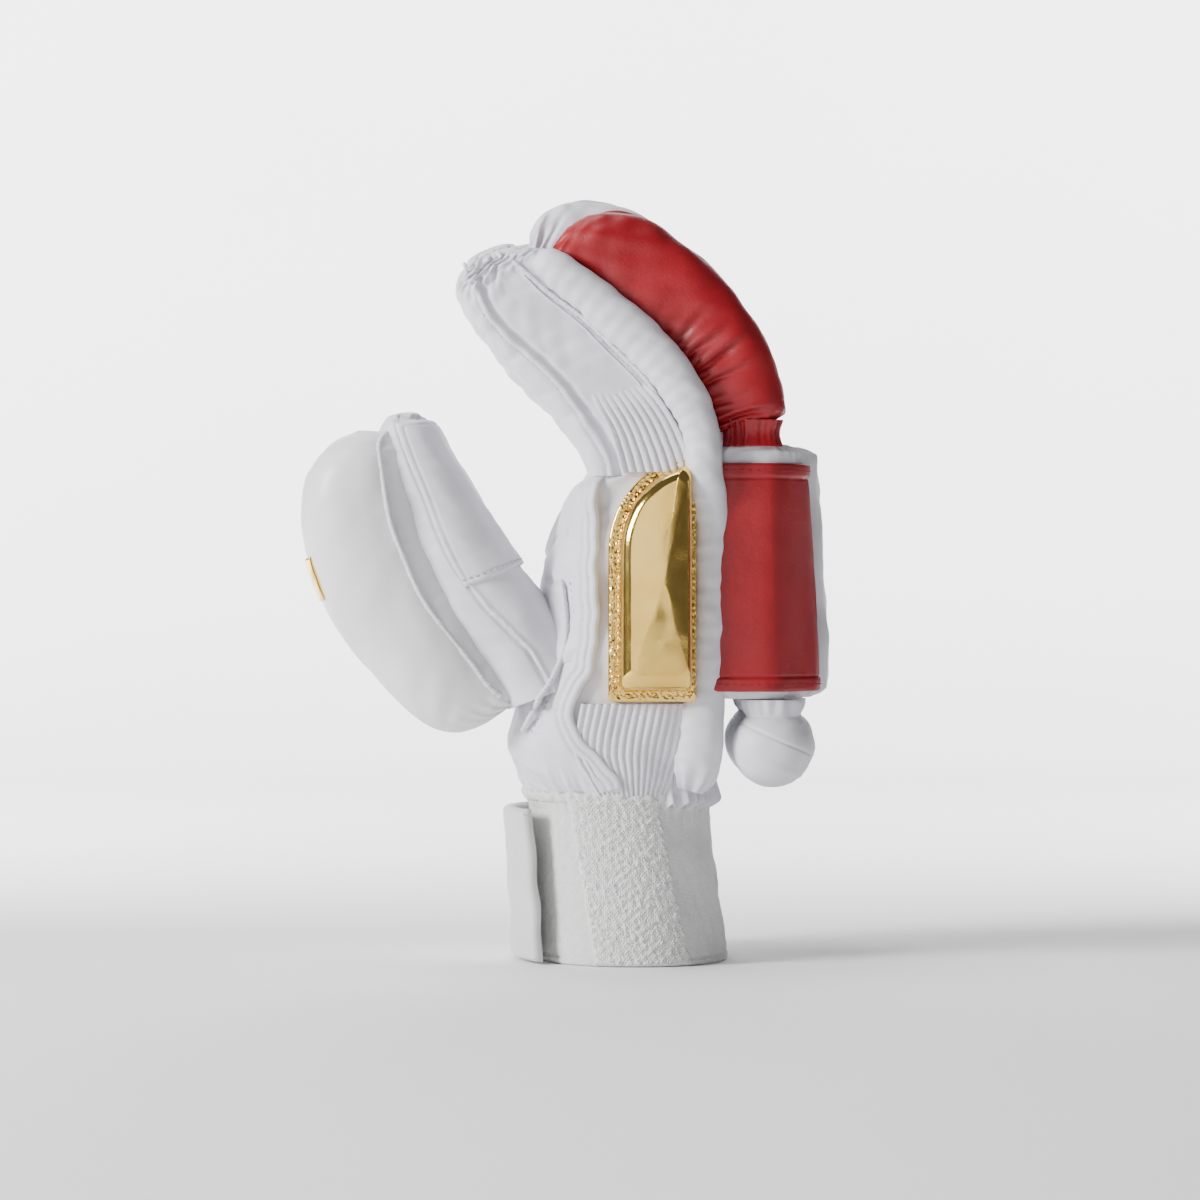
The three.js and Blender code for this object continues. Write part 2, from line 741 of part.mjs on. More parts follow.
for (const finger of fingers) {
  const rows = fingerRows(finger);
  const isIndex = finger.name === 'index';
  const tube = loft(rows, { sides: fingerSides });
  const hollow = loft(rows, {
    sides: fingerHollowSides, grow: -leatherWall, startGrow: leatherWall, endGrow: -leatherWall,
  });
  const grown = loft(rows, { sides: fingerSides, grow: seamGap });
  addPiece(`finger_${finger.name}`, cutAway(tube, hollow), whiteLeather);

  const rollRows = pleated(upperRollRows(rows, finger));
  const roll = loft(rollRows, { sides: rollSides });
  const rollGrown = loft(rollRows, { sides: rollSides, grow: seamGap });
  addPiece(`upper_roll_${finger.name}`, cutAway(roll, grown), isIndex ? redLeather : whiteLeather);

  const backWidth = isIndex ? fingerWidth - 2 * (wrapThickness + seamGap) : fingerWidth;
  const backRows = backRollRows(finger, backWidth);
  const backRoll = loft(backRows, { sides: rollSides });
  const backGrown = loft(backRows, { sides: rollSides, grow: seamGap });
  addPiece(`back_roll_${finger.name}`, cutAway(backRoll, palmGrown, grown), whiteLeather);
  const seat = [palmGrown, grown, rollGrown, backGrown];
  if (isIndex) {
    const slab = wideBlock(wrapFrom, wrapFrom + wrapLength);
    const cover = loft(backRows, { sides: rollSides, grow: seamGap + wrapThickness }).intersect(slab);
    addPiece('back_roll_wrap', cutAway(cover, palmGrown, grown, backGrown), redLeather);
    const slabGrown = wideBlock(wrapFrom - seamGap, wrapFrom + wrapLength + seamGap);
    seat.push(loft(backRows, { sides: rollSides, grow: 2 * seamGap + wrapThickness }).intersect(slabGrown));
  }
  const ball = ballRows(finger);
  addPiece(`end_ball_${finger.name}`, cutAway(loft(ball, { sides: ballSides }), palmGrown), whiteLeather);
  seat.push(loft(ball, { sides: ballSides, grow: seamGap }));

  const flap = loft(flapRows(finger), { sides: flapSides, waves: flapWaves, depth: flapFrill });
  const flapGrown = loft(flapRows(finger), { sides: flapSides, grow: seamGap + flapFrill });
  addPiece(`knuckle_flap_${finger.name}`, cutAway(flap, grown, rollGrown, backGrown),
    isIndex ? redLeather : whiteLeather);
  seat.push(flapGrown);

  if (isIndex || finger.name === 'little') {
    const side = isIndex ? -1 : 1;
    const barRows = sideBarRows(rows, side);
    const bar = cutAway(loft(barRows, { sides: barSides }), ...seat);
    addPiece(`side_bar_${finger.name}`, bar, whiteLeather);
    seats[finger.name] = { rows, grown, bar: loft(barRows, { sides: barSides, grow: seamGap }) };
  }
}

// Plate on the thumb side, between the palm leather and the side bar
const plateBack = palmRowAt(0.5).outX - barWidth + plateSeat;
const plateFront = plateBack - plateWidth;
const plateFoot = backRollBottom - seamGap * 2;
const plateFace = handWidth / 2 + seamGap + plateThickness;
const plateDome = [
  { share: 0, rise: 0 },
  { share: 0.09, rise: 0.55 },
  { share: 0.4, rise: 0.86 },
  { share: 1, rise: 1 },
].map(({ share, rise }) => ({
  inset: plateFlange + plateShoulder * share, out: plateFace + plateRise * rise,
}));
const plateRings = [
  { inset: 0, out: handWidth / 2 - plateSink },
  { inset: 0, out: plateFace },
  ...plateDome,
].map(({ inset, out }) => plateOutline(inset).map(
  ([x, z]) => new THREE.Vector3(plateFront + x, -out, plateFoot + z),
));
addPiece('gold_plate', cutAway(skin(plateRings), palmGrown, seats.index.grown, seats.index.bar),
  goldFoil);

// Ribbed knit below the plate, above it on the finger, and on the little-finger side
function ribbed(rows, sides, table, side, pitch, tools) {
  const angles = table.map(({ place, front, back }) => ({
    place,
    from: sideAngle(rowAt(rows, place), front, side),
    to: sideAngle(rowAt(rows, place), back, side),
  }));
  const wide = rowAt(rows, table[1].place);
  const depth = Math.hypot(wide.outX - wide.inX, wide.outZ - wide.inZ) / 2;
  const ribs = Math.round((table[1].back - table[1].front) * depth / pitch);
  return cutAway(sheet(rows, angles, {
    across: ribs * 2,
    sides,
    thickness: (share) => knitThickness + ribDepth * (0.5 - 0.5 * Math.cos(share * ribs * 2 * Math.PI)),
  }), ...tools);
}

const plateGrown = blockBetween(
  new THREE.Vector3(plateFront - seamGap, -handWidth, plateFoot - seamGap),
  new THREE.Vector3(plateBack + seamGap, plateSink - handWidth / 2 + seamGap,
    plateFoot + plateLength + seamGap),
);
const wristKnit = [
  { place: palmPlaceAt(0.03), front: -0.22, back: 0.5 },
  { place: palmPlaceAt(0.14), front: -0.36, back: 0.62 },
  { place: palmPlaceAt((plateFoot - seamGap - cuffHeight) / palmHeight), front: -0.38, back: 0.66 },
];
addPiece('rib_gusset_wrist', ribbed(palmRows, palmSides, wristKnit, -1, ribPitch,
  [seats.index.bar]), whiteKnit);
const fingerKnit = [
  { place: 0.15, front: -0.62, back: 0.5 },
  { place: 1.3, front: -0.5, back: 0.4 },
  { place: 2.6, front: -0.32, back: 0.36 },
];
addPiece('rib_gusset_finger', ribbed(seats.index.rows, fingerSides, fingerKnit, -1, ribPitch,
  [plateGrown, seats.index.bar]), whiteKnit);
const littleKnit = [
  { place: palmPlaceAt(0.06), front: -0.3, back: 0.5 },
  { place: palmPlaceAt(0.4), front: -0.36, back: 0.6 },
  { place: palmPlaceAt(0.95), front: -0.3, back: 0.6 },
];
addPiece('rib_gusset_little', ribbed(palmRows, palmSides, littleKnit, 1, innerRibPitch,
  [seats.little.bar]), whiteKnit);

// Gathers round the back of the wrist, where the hand is drawn in to the cuff
const ruffleFrom = THREE.MathUtils.degToRad(-58);
const ruffleTo = THREE.MathUtils.degToRad(58);
const ruffleRows = [0.1, 0.5, 0.9].map((share) => ({
  place: palmPlaceAt(share * ruffleHeight / palmHeight), from: ruffleFrom, to: ruffleTo,
}));
addPiece('wrist_ruffle', cutAway(sheet(palmRows, ruffleRows, {
  across: ruffleWaves * 2,
  sides: palmSides,
  thickness: (share) => ruffleThickness + ruffleDepth * Math.cos(share * ruffleWaves * 2 * Math.PI),
}), seats.index.bar, seats.little.bar), whiteLeather);

export default glove;
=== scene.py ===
import math
import bpy
import numpy as np
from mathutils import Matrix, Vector


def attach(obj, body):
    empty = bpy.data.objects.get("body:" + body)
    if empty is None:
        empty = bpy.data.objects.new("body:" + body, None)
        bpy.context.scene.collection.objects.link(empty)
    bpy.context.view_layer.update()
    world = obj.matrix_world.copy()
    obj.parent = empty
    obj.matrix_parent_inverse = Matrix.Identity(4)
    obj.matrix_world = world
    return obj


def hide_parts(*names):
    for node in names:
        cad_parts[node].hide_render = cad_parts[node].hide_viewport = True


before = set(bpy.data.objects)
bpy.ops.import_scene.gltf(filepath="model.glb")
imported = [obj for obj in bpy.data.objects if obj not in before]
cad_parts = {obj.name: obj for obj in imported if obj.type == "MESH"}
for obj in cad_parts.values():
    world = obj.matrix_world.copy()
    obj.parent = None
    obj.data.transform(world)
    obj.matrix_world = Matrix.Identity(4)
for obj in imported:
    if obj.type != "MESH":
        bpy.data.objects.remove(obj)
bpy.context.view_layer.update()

# Sizes in millimetres, as in the CAD model, with meshes made in metres
MM = 0.001
SEAM_GAP = 0.4
LEATHER_WALL = 2
CUFF_WALL = 3
CUFF_HEIGHT = 57
CUFF_DEPTH, CUFF_WIDTH = 65, 76
CUFF_TOP_DEPTH, CUFF_TOP_WIDTH, CUFF_TOP_SHIFT = 61, 73, -4.7
STRAP_HEIGHT, STRAP_THICKNESS, STRAP_LIFT, STRAP_FOOT = 49, 4, 5.2, 2
FINGER_WIDTH, FINGER_GAP = 23, 1
PALM_HEIGHT, PALM_DEPTH = 109, 66
FINGER_REACH, FINGER_RISE = 62, 78
ROLL_THICKNESS, ROLL_SINK = 28.5, 5
BACK_ROLL_LENGTH, BACK_ROLL_DEPTH, BACK_ROLL_LEAN = 86, 27.5, 5
BACK_CROWN, KNUCKLE_RISE = 4, 11
WRAP_THICKNESS, WRAP_LENGTH, WRAP_START = 1.3, 77, 2.5
BALL_DIAMETER, NECK_DEPTH, NECK_HEIGHT, BALL_INSET = 27.6, 21, 4.9, 1.3
FLAP_HEIGHT, FLAP_DEPTH = 3, 22
BAR_WIDTH, BAR_HEIGHT, BAR_OUTSET = 13, 13, 1
BAR_HAND_ACROSS, BAR_FINGER_ACROSS, BAR_CORNER = 0.89, 0.84, 0.885
PLATE_LENGTH, PLATE_WIDTH, PLATE_FLANGE, PLATE_SEAT = 83, 29.5, 3.7, 1
PLATE_THICKNESS, PLATE_RISE = 1.6, 7
THUMB_REACH, THUMB_RISE, THUMB_WIDTH = 88, 129, 39
PATCH_THICKNESS = 1.2
PROTECTOR_THICKNESS, PROTECTOR_WIDTH, PROTECTOR_SINK = 34.5, 40, 9
KNIT_THICKNESS, RIB_DEPTH, RIB_PITCH, INNER_RIB_PITCH = 1.3, 0.7, 2.25, 4
RUFFLE_DEPTH = 1.3

FINGER_PITCH = FINGER_WIDTH + FINGER_GAP
HAND_WIDTH = 4 * FINGER_WIDTH + 3 * FINGER_GAP
KNUCKLE_Z = CUFF_HEIGHT + PALM_HEIGHT
BACK_ROLL_TOP = KNUCKLE_Z + KNUCKLE_RISE
BACK_ROLL_BOTTOM = BACK_ROLL_TOP - BACK_ROLL_LENGTH
COLUMNS = ("in_x", "in_z", "out_x", "out_z", "y", "half", "power")


# Sections: a table of rows, each a rounded box between an inner and an outer edge
def table(rows):
    return dict(zip(COLUMNS, np.array(rows, float).T))


def row_at(rows, place):
    """The section at one or many places between the rows, on a smooth curve through them."""
    place = np.asarray(place, float)
    count = len(rows["y"])
    index = np.clip(np.floor(place).astype(int), 0, count - 2)
    share = place - index
    result = {}
    for name, values in rows.items():
        before = values[np.maximum(index - 1, 0)]
        start = values[index]
        end = values[index + 1]
        after = values[np.minimum(index + 2, count - 1)]
        slope_start = (end - before) / 2
        slope_end = (after - start) / 2
        change = end - start
        third = slope_start + slope_end - 2 * change
        second = 3 * change - 2 * slope_start - slope_end
        result[name] = start + share * (slope_start + share * (second + share * third))
    return result


def bulge(value, power):
    return np.sign(value) * np.abs(value) ** (2 / power)


def surface(rows, place, angle, grow=0.0):
    """Points at places along a loft and angles round it, moved out by grow."""
    place, angle, grow = np.broadcast_arrays(place, angle, grow)
    row = row_at(rows, place)
    span_x = row["out_x"] - row["in_x"]
    span_z = row["out_z"] - row["in_z"]
    span = np.hypot(span_x, span_z)
    across = bulge(np.cos(angle), row["power"]) * (0.5 + grow / span)
    side = bulge(np.sin(angle), row["power"]) * (row["half"] + grow)
    return np.stack([
        (row["in_x"] + row["out_x"]) / 2 + span_x * across,
        row["y"] + side,
        (row["in_z"] + row["out_z"]) / 2 + span_z * across,
    ], axis=-1)


def outer_edge(rows, place):
    here = row_at(rows, place)
    last = len(rows["y"]) - 1
    before = row_at(rows, max(place - 0.2, 0))
    after = row_at(rows, min(place + 0.2, last))
    along = np.array([after["out_x"] - before["out_x"], after["out_z"] - before["out_z"]])
    along /= np.linalg.norm(along)
    normal = np.array([along[1], -along[0]])
    outward = np.array([here["out_x"] - here["in_x"], here["out_z"] - here["in_z"]])
    if normal @ outward < 0:
        normal = -normal
    return here, normal


def side_angle(row, share, side):
    """The angle on the thumb side (-1) or the other (1), at a share of a section's depth."""
    return side * np.arccos(np.sign(share) * np.abs(share) ** (row["power"] / 2))


def smooth_step(value, low, high):
    share = np.clip((value - low) / (high - low), 0, 1)
    return share * share * (3 - 2 * share)


def hill(value, middle, width):
    return np.exp(-((value - middle) / width) ** 2)


def folds(along, around, size, seed, waves=7):
    """Soft unevenness from a few sine waves of about one size, the same on each run."""
    random = np.random.default_rng(seed)
    total = np.zeros(np.broadcast(along, around).shape)
    for _ in range(waves):
        turn = random.uniform(0, 2 * math.pi)
        length = size * random.uniform(0.7, 1.5)
        shift = random.uniform(0, 2 * math.pi)
        step = along * math.cos(turn) + around * math.sin(turn)
        total += np.sin(2 * math.pi * step / length + shift)
    return total / waves ** 0.5


def grid_measures(points):
    """How far each point of a grid lies along it and around it, in millimetres."""
    along = np.linalg.norm(np.diff(points, axis=0), axis=-1)
    around = np.linalg.norm(np.diff(points, axis=1), axis=-1)
    along = np.vstack([np.zeros((1, points.shape[1])), np.cumsum(along, axis=0)])
    around = np.hstack([np.zeros((points.shape[0], 1)), np.cumsum(around, axis=1)])
    return along, around


def uneven(along, around, seed, *waves):
    """Soft unevenness as a sum of folds, each a height and a size."""
    return sum(height * folds(along, around, size, seed + k) for k, (height, size) in enumerate(waves))


# Meshes
def add_object(name, points, faces, look, node=None):
    """A piece from points in millimetres and lists of quads and triangles; node is the solid it replaces."""
    material, slot = look
    mesh = bpy.data.meshes.new(name)
    loops = np.concatenate([np.asarray(part, int).ravel() for part in faces])
    sizes = np.concatenate([np.full(len(part), len(part[0])) for part in faces])
    starts = np.concatenate([[0], np.cumsum(sizes)[:-1]])
    mesh.vertices.add(len(points))
    mesh.vertices.foreach_set("co", (np.asarray(points) * MM).ravel())
    mesh.loops.add(len(loops))
    mesh.loops.foreach_set("vertex_index", loops)
    mesh.polygons.add(len(sizes))
    mesh.polygons.foreach_set("loop_start", starts)
    mesh.polygons.foreach_set("loop_total", sizes)
    mesh.polygons.foreach_set("use_smooth", np.full(len(sizes), True))
    mesh.update(calc_edges=True)
    mesh.validate()
    obj = bpy.data.objects.new(name, mesh)
    bpy.context.scene.collection.objects.link(obj)
    mesh.materials.append(material)
    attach(obj, "root")
    if node:
        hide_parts(node)
    return obj


def ring_faces(count, sides):
    """Quads between rings of points, each ring closed on itself."""
    ring = np.arange(count - 1)[:, None] * sides
    item = np.arange(sides)[None, :]
    following = (item + 1) % sides
    quads = np.stack([ring + item, ring + following, ring + sides + following,
                      ring + sides + item], axis=-1)
    return quads.reshape(-1, 4)


def cap_faces(first, pole, sides, reverse):
    item = np.arange(sides)
    following = (item + 1) % sides
    fan = np.stack([np.full(sides, pole), first + following, first + item], axis=-1)
    return fan[:, ::-1] if reverse else fan


def turned_out(points, faces):
    """The same faces, turned round if the closed mesh is inside out."""
    volume = 0
    for part in faces:
        part = np.asarray(part)
        for item in range(1, part.shape[1] - 1):
            a, b, c = points[part[:, 0]], points[part[:, item]], points[part[:, item + 1]]
            volume += (a * np.cross(b, c)).sum()
    return faces if volume > 0 else [np.asarray(part)[:, ::-1] for part in faces]


def closed_form(name, rings, look, node=None):
    """A closed piece from rings of points, with a pole in the middle of each end."""
    count, sides = rings.shape[:2]
    points = rings.reshape(-1, 3)
    poles = np.array([rings[0].mean(axis=0), rings[-1].mean(axis=0)])
    points = np.vstack([points, poles])
    quads = ring_faces(count, sides)
    start = cap_faces(0, count * sides, sides, False)
    end = cap_faces((count - 1) * sides, count * sides + 1, sides, True)
    faces = turned_out(points, [quads, np.vstack([start, end])])
    return add_object(name, points, faces, look, node)


def ring_form(name, rings, look, node=None):
    """A closed piece whose last ring joins its first, such as a tube wall."""
    count, sides = rings.shape[:2]
    points = rings.reshape(-1, 3)
    quads = ring_faces(count + 1, sides) % (count * sides)
    return add_object(name, points, turned_out(points, [quads]), look, node)


def sheet_form(name, over, under, look, node=None):
    """A thin piece from the grid of its outer face and the grid of its inner face."""
    rings = np.concatenate([over, under[:, ::-1]], axis=1)
    count, sides = rings.shape[:2]
    points = rings.reshape(-1, 3)
    half = over.shape[1]
    item = np.arange(half - 1)
    mate = sides - 1 - item
    start = np.stack([item, mate, mate - 1, item + 1], axis=-1)
    end = start[:, ::-1] + (count - 1) * sides
    faces = turned_out(points, [np.vstack([ring_faces(count, sides), start, end])])
    return add_object(name, points, faces, look, node)


def tube(path, radius, sides=8):
    """Rings of a thin round tube along a path."""
    along = np.gradient(path, axis=0)
    along /= np.linalg.norm(along, axis=1)[:, None]
    first = np.cross(along, [0.3, 1.0, 0.2])
    first /= np.linalg.norm(first, axis=1)[:, None]
    second = np.cross(along, first)
    turn = 2 * math.pi * np.arange(sides) / sides
    radius = np.broadcast_to(radius, len(path))[:, None, None]
    offset = np.cos(turn)[None, :, None] * first[:, None] + np.sin(turn)[None, :, None] * second[:, None]
    return path[:, None] + radius * offset


def path_length(points):
    """How far each point of a path lies from its start."""
    return np.concatenate([[0], np.cumsum(np.linalg.norm(np.diff(points, axis=0), axis=1))])


def at_length(spots, length, points):
    """Points at given distances along a path."""
    return np.stack([np.interp(spots, length, column) for column in points.T], axis=-1)


def along_path(path, spacing):
    """Points at even distances along a path, with the direction at each."""
    length = path_length(path)
    count = max(int(length[-1] / spacing), 1)
    spots = (np.arange(count) + 0.5) * length[-1] / count
    along = at_length(spots + 0.2, length, path) - at_length(spots - 0.2, length, path)
    return at_length(spots, length, path), along / np.linalg.norm(along, axis=1)[:, None]


def stitch_line(name, paths, look, length=2.2, gap=1.0, radius=0.28):
    """Rows of sewn stitches along paths: small capsules, all in one mesh."""
    shape = np.array([[-0.5, 0.1], [-0.42, 0.75], [-0.2, 1.0], [0.2, 1.0], [0.42, 0.75], [0.5, 0.1]])
    sides = 6
    turn = 2 * math.pi * np.arange(sides) / sides
    points = []
    faces = []
    single = ring_faces(len(shape), sides)
    ends = np.vstack([np.arange(sides)[::-1], np.arange(sides) + (len(shape) - 1) * sides])
    hexagons = []
    for path in paths:
        centres, along = along_path(path, length + gap)
        first = np.cross(along, [0.1, 1.0, 0.25])
        first /= np.linalg.norm(first, axis=1)[:, None]
        second = np.cross(along, first)
        for centre, a, f, s in zip(centres, along, first, second):
            ring = np.cos(turn)[:, None] * f + np.sin(turn)[:, None] * s
            body = centre + shape[:, 0, None, None] * length * a + shape[:, 1, None, None] * radius * ring
            faces.append(single + len(points) * len(shape) * sides)
            hexagons.append(ends + len(points) * len(shape) * sides)
            points.append(body.reshape(-1, 3))
    everything = np.concatenate(points)
    parts = turned_out(everything, [np.concatenate(faces), np.concatenate(hexagons)])
    add_object(name, everything, parts, look)


# Materials, all worked out from the object's own coordinates
RAMP_PLACES = (0.35, 0.65)


def new_material(name):
    material = bpy.data.materials.new(name)
    material.use_nodes = True
    tree = material.node_tree
    shader = tree.nodes["Principled BSDF"]
    place = tree.nodes.new("ShaderNodeTexCoord")
    return material, tree, shader, place.outputs["Object"]


def set_inputs(node, **values):
    """Sets a node's inputs; an underscore stands for a space in an input's name."""
    for name, value in values.items():
        node.inputs[name.replace("_", " ")].default_value = value


def texture(tree, kind, place, **inputs):
    node = tree.nodes.new("ShaderNodeTex" + kind)
    tree.links.new(place, node.inputs["Vector"])
    set_inputs(node, **inputs)
    return node


def ramp(tree, source, low, high):
    """A colour between low and high, from a texture's value."""
    node = tree.nodes.new("ShaderNodeValToRGB")
    for element, place, colour in zip(node.color_ramp.elements, RAMP_PLACES, (low, high)):
        element.position = place
        element.color = colour
    tree.links.new(source, node.inputs["Fac"])
    return node.outputs["Color"]


def bump(tree, shader, heights):
    """Adds bumps, each a (socket, strength, distance in metres), one on another."""
    normal = None
    for source, strength, distance in heights:
        node = tree.nodes.new("ShaderNodeBump")
        set_inputs(node, Strength=strength, Distance=distance)
        tree.links.new(source, node.inputs["Height"])
        if normal is not None:
            tree.links.new(normal, node.inputs["Normal"])
        normal = node.outputs["Normal"]
    tree.links.new(normal, shader.inputs["Normal"])


def shade(colour, factor):
    return (*(min(1, value * factor) for value in colour), 1)


def leather(name, colour, roughness, grain, crease, coat=0.0, spread=0.05):
    """Smooth leather: fine pores, soft creases, and colour and gloss that vary a little."""
    material, tree, shader, place = new_material(name)
    mottle = texture(tree, "Noise", place, Scale=42.0, Detail=4.0, Roughness=0.55).outputs["Fac"]
    colours = ramp(tree, mottle, shade(colour, 1 - spread), shade(colour, 1 + spread / 2))
    tree.links.new(colours, shader.inputs["Base Color"])
    gloss = ramp(tree, mottle, (roughness * 0.88,) * 3 + (1,), (roughness * 1.12,) * 3 + (1,))
    tree.links.new(gloss, shader.inputs["Roughness"])
    pores = texture(tree, "Voronoi", place, Scale=1100.0).outputs["Distance"]
    wrinkle = texture(tree, "Noise", place, Scale=230.0, Detail=5.0, Roughness=0.6, Distortion=0.6)
    bump(tree, shader, [(wrinkle.outputs["Fac"], crease, 0.0006), (pores, grain, 0.00012)])
    set_inputs(shader, Coat_Weight=coat, Coat_Roughness=0.25)
    return material


def cloth(name, colour, scale, strength, roughness=0.9):
    """Fine cloth: crossed threads with a slight fuzz."""
    material, tree, shader, place = new_material(name)
    waves = []
    for axis in ("X", "Z"):
        wave = texture(tree, "Wave", place, Scale=scale, Distortion=1.2, Detail=1.5)
        wave.bands_direction = axis
        waves.append(wave.outputs["Fac"])
    fuzz = texture(tree, "Noise", place, Scale=900.0, Detail=3.0)
    colours = ramp(tree, fuzz.outputs["Fac"], shade(colour, 0.93), shade(colour, 1.04))
    tree.links.new(colours, shader.inputs["Base Color"])
    set_inputs(shader, Roughness=roughness, Sheen_Weight=0.25)
    heights = [(wave, strength, 0.0003) for wave in waves]
    bump(tree, shader, heights + [(fuzz.outputs["Fac"], strength, 0.0004)])
    return material


def foil(name):
    """Gold foil on a moulded plate: mirror-like, with slow unevenness and fine scratches."""
    material, tree, shader, place = new_material(name)
    mottle = texture(tree, "Noise", place, Scale=60.0, Detail=3.0)
    colours = ramp(tree, mottle.outputs["Fac"], (0.86, 0.54, 0.12, 1), (0.95, 0.64, 0.18, 1))
    tree.links.new(colours, shader.inputs["Base Color"])
    set_inputs(shader, Metallic=1.0, Roughness=0.13)
    slow = texture(tree, "Noise", place, Scale=70.0, Detail=1.0)
    fine = texture(tree, "Noise", place, Scale=1500.0, Detail=2.0)
    bump(tree, shader, [(slow.outputs["Fac"], 0.35, 0.0012), (fine.outputs["Fac"], 0.12, 0.0001)])
    return material


def thread(name, colour):
    material, tree, shader, place = new_material(name)
    wave = texture(tree, "Wave", place, Scale=900.0, Distortion=2.0)
    colours = ramp(tree, wave.outputs["Fac"], shade(colour, 0.8), shade(colour, 1.0))
    tree.links.new(colours, shader.inputs["Base Color"])
    set_inputs(shader, Roughness=0.7)
    bump(tree, shader, [(wave.outputs["Fac"], 0.4, 0.0002)])
    return material


# Looks: each a material and the slot that it stands for
WHITE = leather("white_leather_look", (0.69, 0.685, 0.735), 0.52, 0.3, 0.16), "white_leather"
GUARD = leather("guard_leather_look", (0.72, 0.72, 0.735), 0.42, 0.22, 0.08, coat=0.1), "white_leather"
RED = leather("red_leather_look", (0.29, 0.003, 0.009), 0.48, 0.3, 0.16, spread=0.14), "red_leather"
STRAP = leather("strap_leather_look", (0.58, 0.6, 0.58), 0.6, 0.25, 0.1), "white_leather"
GOLD = foil("gold_foil_look"), "gold_foil"
KNIT = cloth("knit_look", (0.68, 0.66, 0.71), 420.0, 0.12), "white_knit"
CUFF = cloth("cuff_cloth_look", (0.7, 0.69, 0.68), 700.0, 0.3), "cuff_cloth"
TERRY = cloth("terry_look", (0.76, 0.75, 0.74), 500.0, 0.3, roughness=1.0), "terry"
THREAD = thread("white_thread_look", (0.78, 0.77, 0.79)), "white_leather"
CUFF_THREAD = THREAD[0], "cuff_cloth"
# Dark grey thread: painted shade, standing in for the shade in stitch holes and seam grooves
PAINTED_SHADE_THREAD = thread("painted_shade_thread_look", (0.5, 0.49, 0.52)), "white_leather"
RED_THREAD = thread("red_thread_look", (0.3, 0.01, 0.02)), "red_leather"
GOLD_THREAD = thread("gold_thread_look", (0.45, 0.3, 0.08)), "gold_foil"


# Main forms, from the same tables as the CAD model
def level_row(low_x, high_x, z, half, power, y=0.0):
    return low_x, z, high_x, z, y, half, power


def cuff_row(share, lift=0.0):
    middle = 1 + (CUFF_TOP_SHIFT - 1) * share
    depth = CUFF_DEPTH + (CUFF_TOP_DEPTH - CUFF_DEPTH) * share
    width = CUFF_WIDTH + (CUFF_TOP_WIDTH - CUFF_WIDTH) * share
    return level_row(middle - depth / 2, middle + depth / 2, CUFF_HEIGHT * share + lift, width / 2, 2.3)


PALM_TABLE = [
    # height, middle, depth, width, power
    (0.07, -0.085, 1.04, 0.82, 2.4),
    (0.17, -0.09, 1.12, 0.88, 2.7),
    (0.32, -0.045, 1.06, 0.95, 3.0),
    (0.53, 0.01, 1.0, 0.99, 3.0),
    (0.71, 0.03, 0.98, 1.0, 3.1),
    (0.83, 0.045, 0.93, 1.0, 3.4),
    (0.9, 0.065, 0.87, 1.0, 3.9),
    (0.965, 0.1, 0.78, 1.0, 4.8),
    (1.0, 0.135, 0.69, 1.0, 5.6),
]


def palm_rows():
    rows = [cuff_row(1, SEAM_GAP)]
    for height, middle, depth, width, power in PALM_TABLE:
        reach = depth * PALM_DEPTH / 2
        centre = middle * PALM_DEPTH
        z = CUFF_HEIGHT + height * PALM_HEIGHT
        rows.append(level_row(centre - reach, centre + reach, z, width * HAND_WIDTH / 2, power))
    return table(rows)


def palm_place(z):
    return np.interp(z, PALM_ROWS["in_z"], np.arange(len(PALM_TABLE) + 1))


def palm_row_at(height):
    return row_at(PALM_ROWS, palm_place(CUFF_HEIGHT + height * PALM_HEIGHT))


CUFF_ROWS = table([cuff_row(0), cuff_row(1)])
PALM_ROWS = palm_rows()
PALM_TOP = {name: values[-1] for name, values in PALM_ROWS.items()}
PALM_BACK = PALM_ROWS["out_x"][3:7].max()

FINGER_TABLE = [
    # palm reach, palm rise, back reach, back rise, width, power
    (0, 0, 0, 0, 1.0, 4.6),
    (0.05, 0.1, 0.01, 0.17, 1.0, 4.0),
    (0.14, 0.21, 0.08, 0.34, 0.99, 3.4),
    (0.265, 0.335, 0.21, 0.505, 0.97, 3.1),
    (0.4, 0.445, 0.41, 0.66, 0.95, 3.0),
    (0.545, 0.56, 0.64, 0.815, 0.92, 3.0),
    (0.66, 0.68, 0.835, 0.925, 0.88, 3.0),
    (0.715, 0.805, 0.985, 0.985, 0.8, 3.0),
    (0.66, 0.9, 1.11, 0.985, 0.58, 2.6),
]
FINGERS = [
    # name, slot, length, crown, how far the roll runs on past the tip
    ("index", -1.5, 1, 0, 0),
    ("middle", -0.5, 1.045, 1.5, 0.6),
    ("ring", 0.5, 1.01, 1.3, 0.5),
    ("little", 1.5, 0.88, -0.2, 0.1),
]


def finger_rows(slot, length):
    root = KNUCKLE_Z + SEAM_GAP
    reach, rise = FINGER_REACH, FINGER_RISE
    return table([(
        PALM_TOP["in_x"] - palm_reach * reach * length, root + palm_rise * rise * length,
        PALM_TOP["out_x"] - back_reach * reach * length, root + back_rise * rise * length,
        slot * FINGER_PITCH, width * FINGER_WIDTH / 2, power,
    ) for palm_reach, palm_rise, back_reach, back_rise, width, power in FINGER_TABLE])


UPPER_ROLL_TABLE = [
    # place, thick, width
    (1.12, 0.56, 0.66), (1.22, 0.76, 0.88), (1.55, 0.84, 0.99), (2.1, 0.88, 1.0), (3.0, 0.94, 1.0),
    (4.0, 1.0, 1.0), (5.0, 0.95, 0.99), (5.7, 0.82, 0.96), (6.2, 0.62, 0.9), (6.55, 0.36, 0.78),
    (6.72, 0.12, 0.55),
]


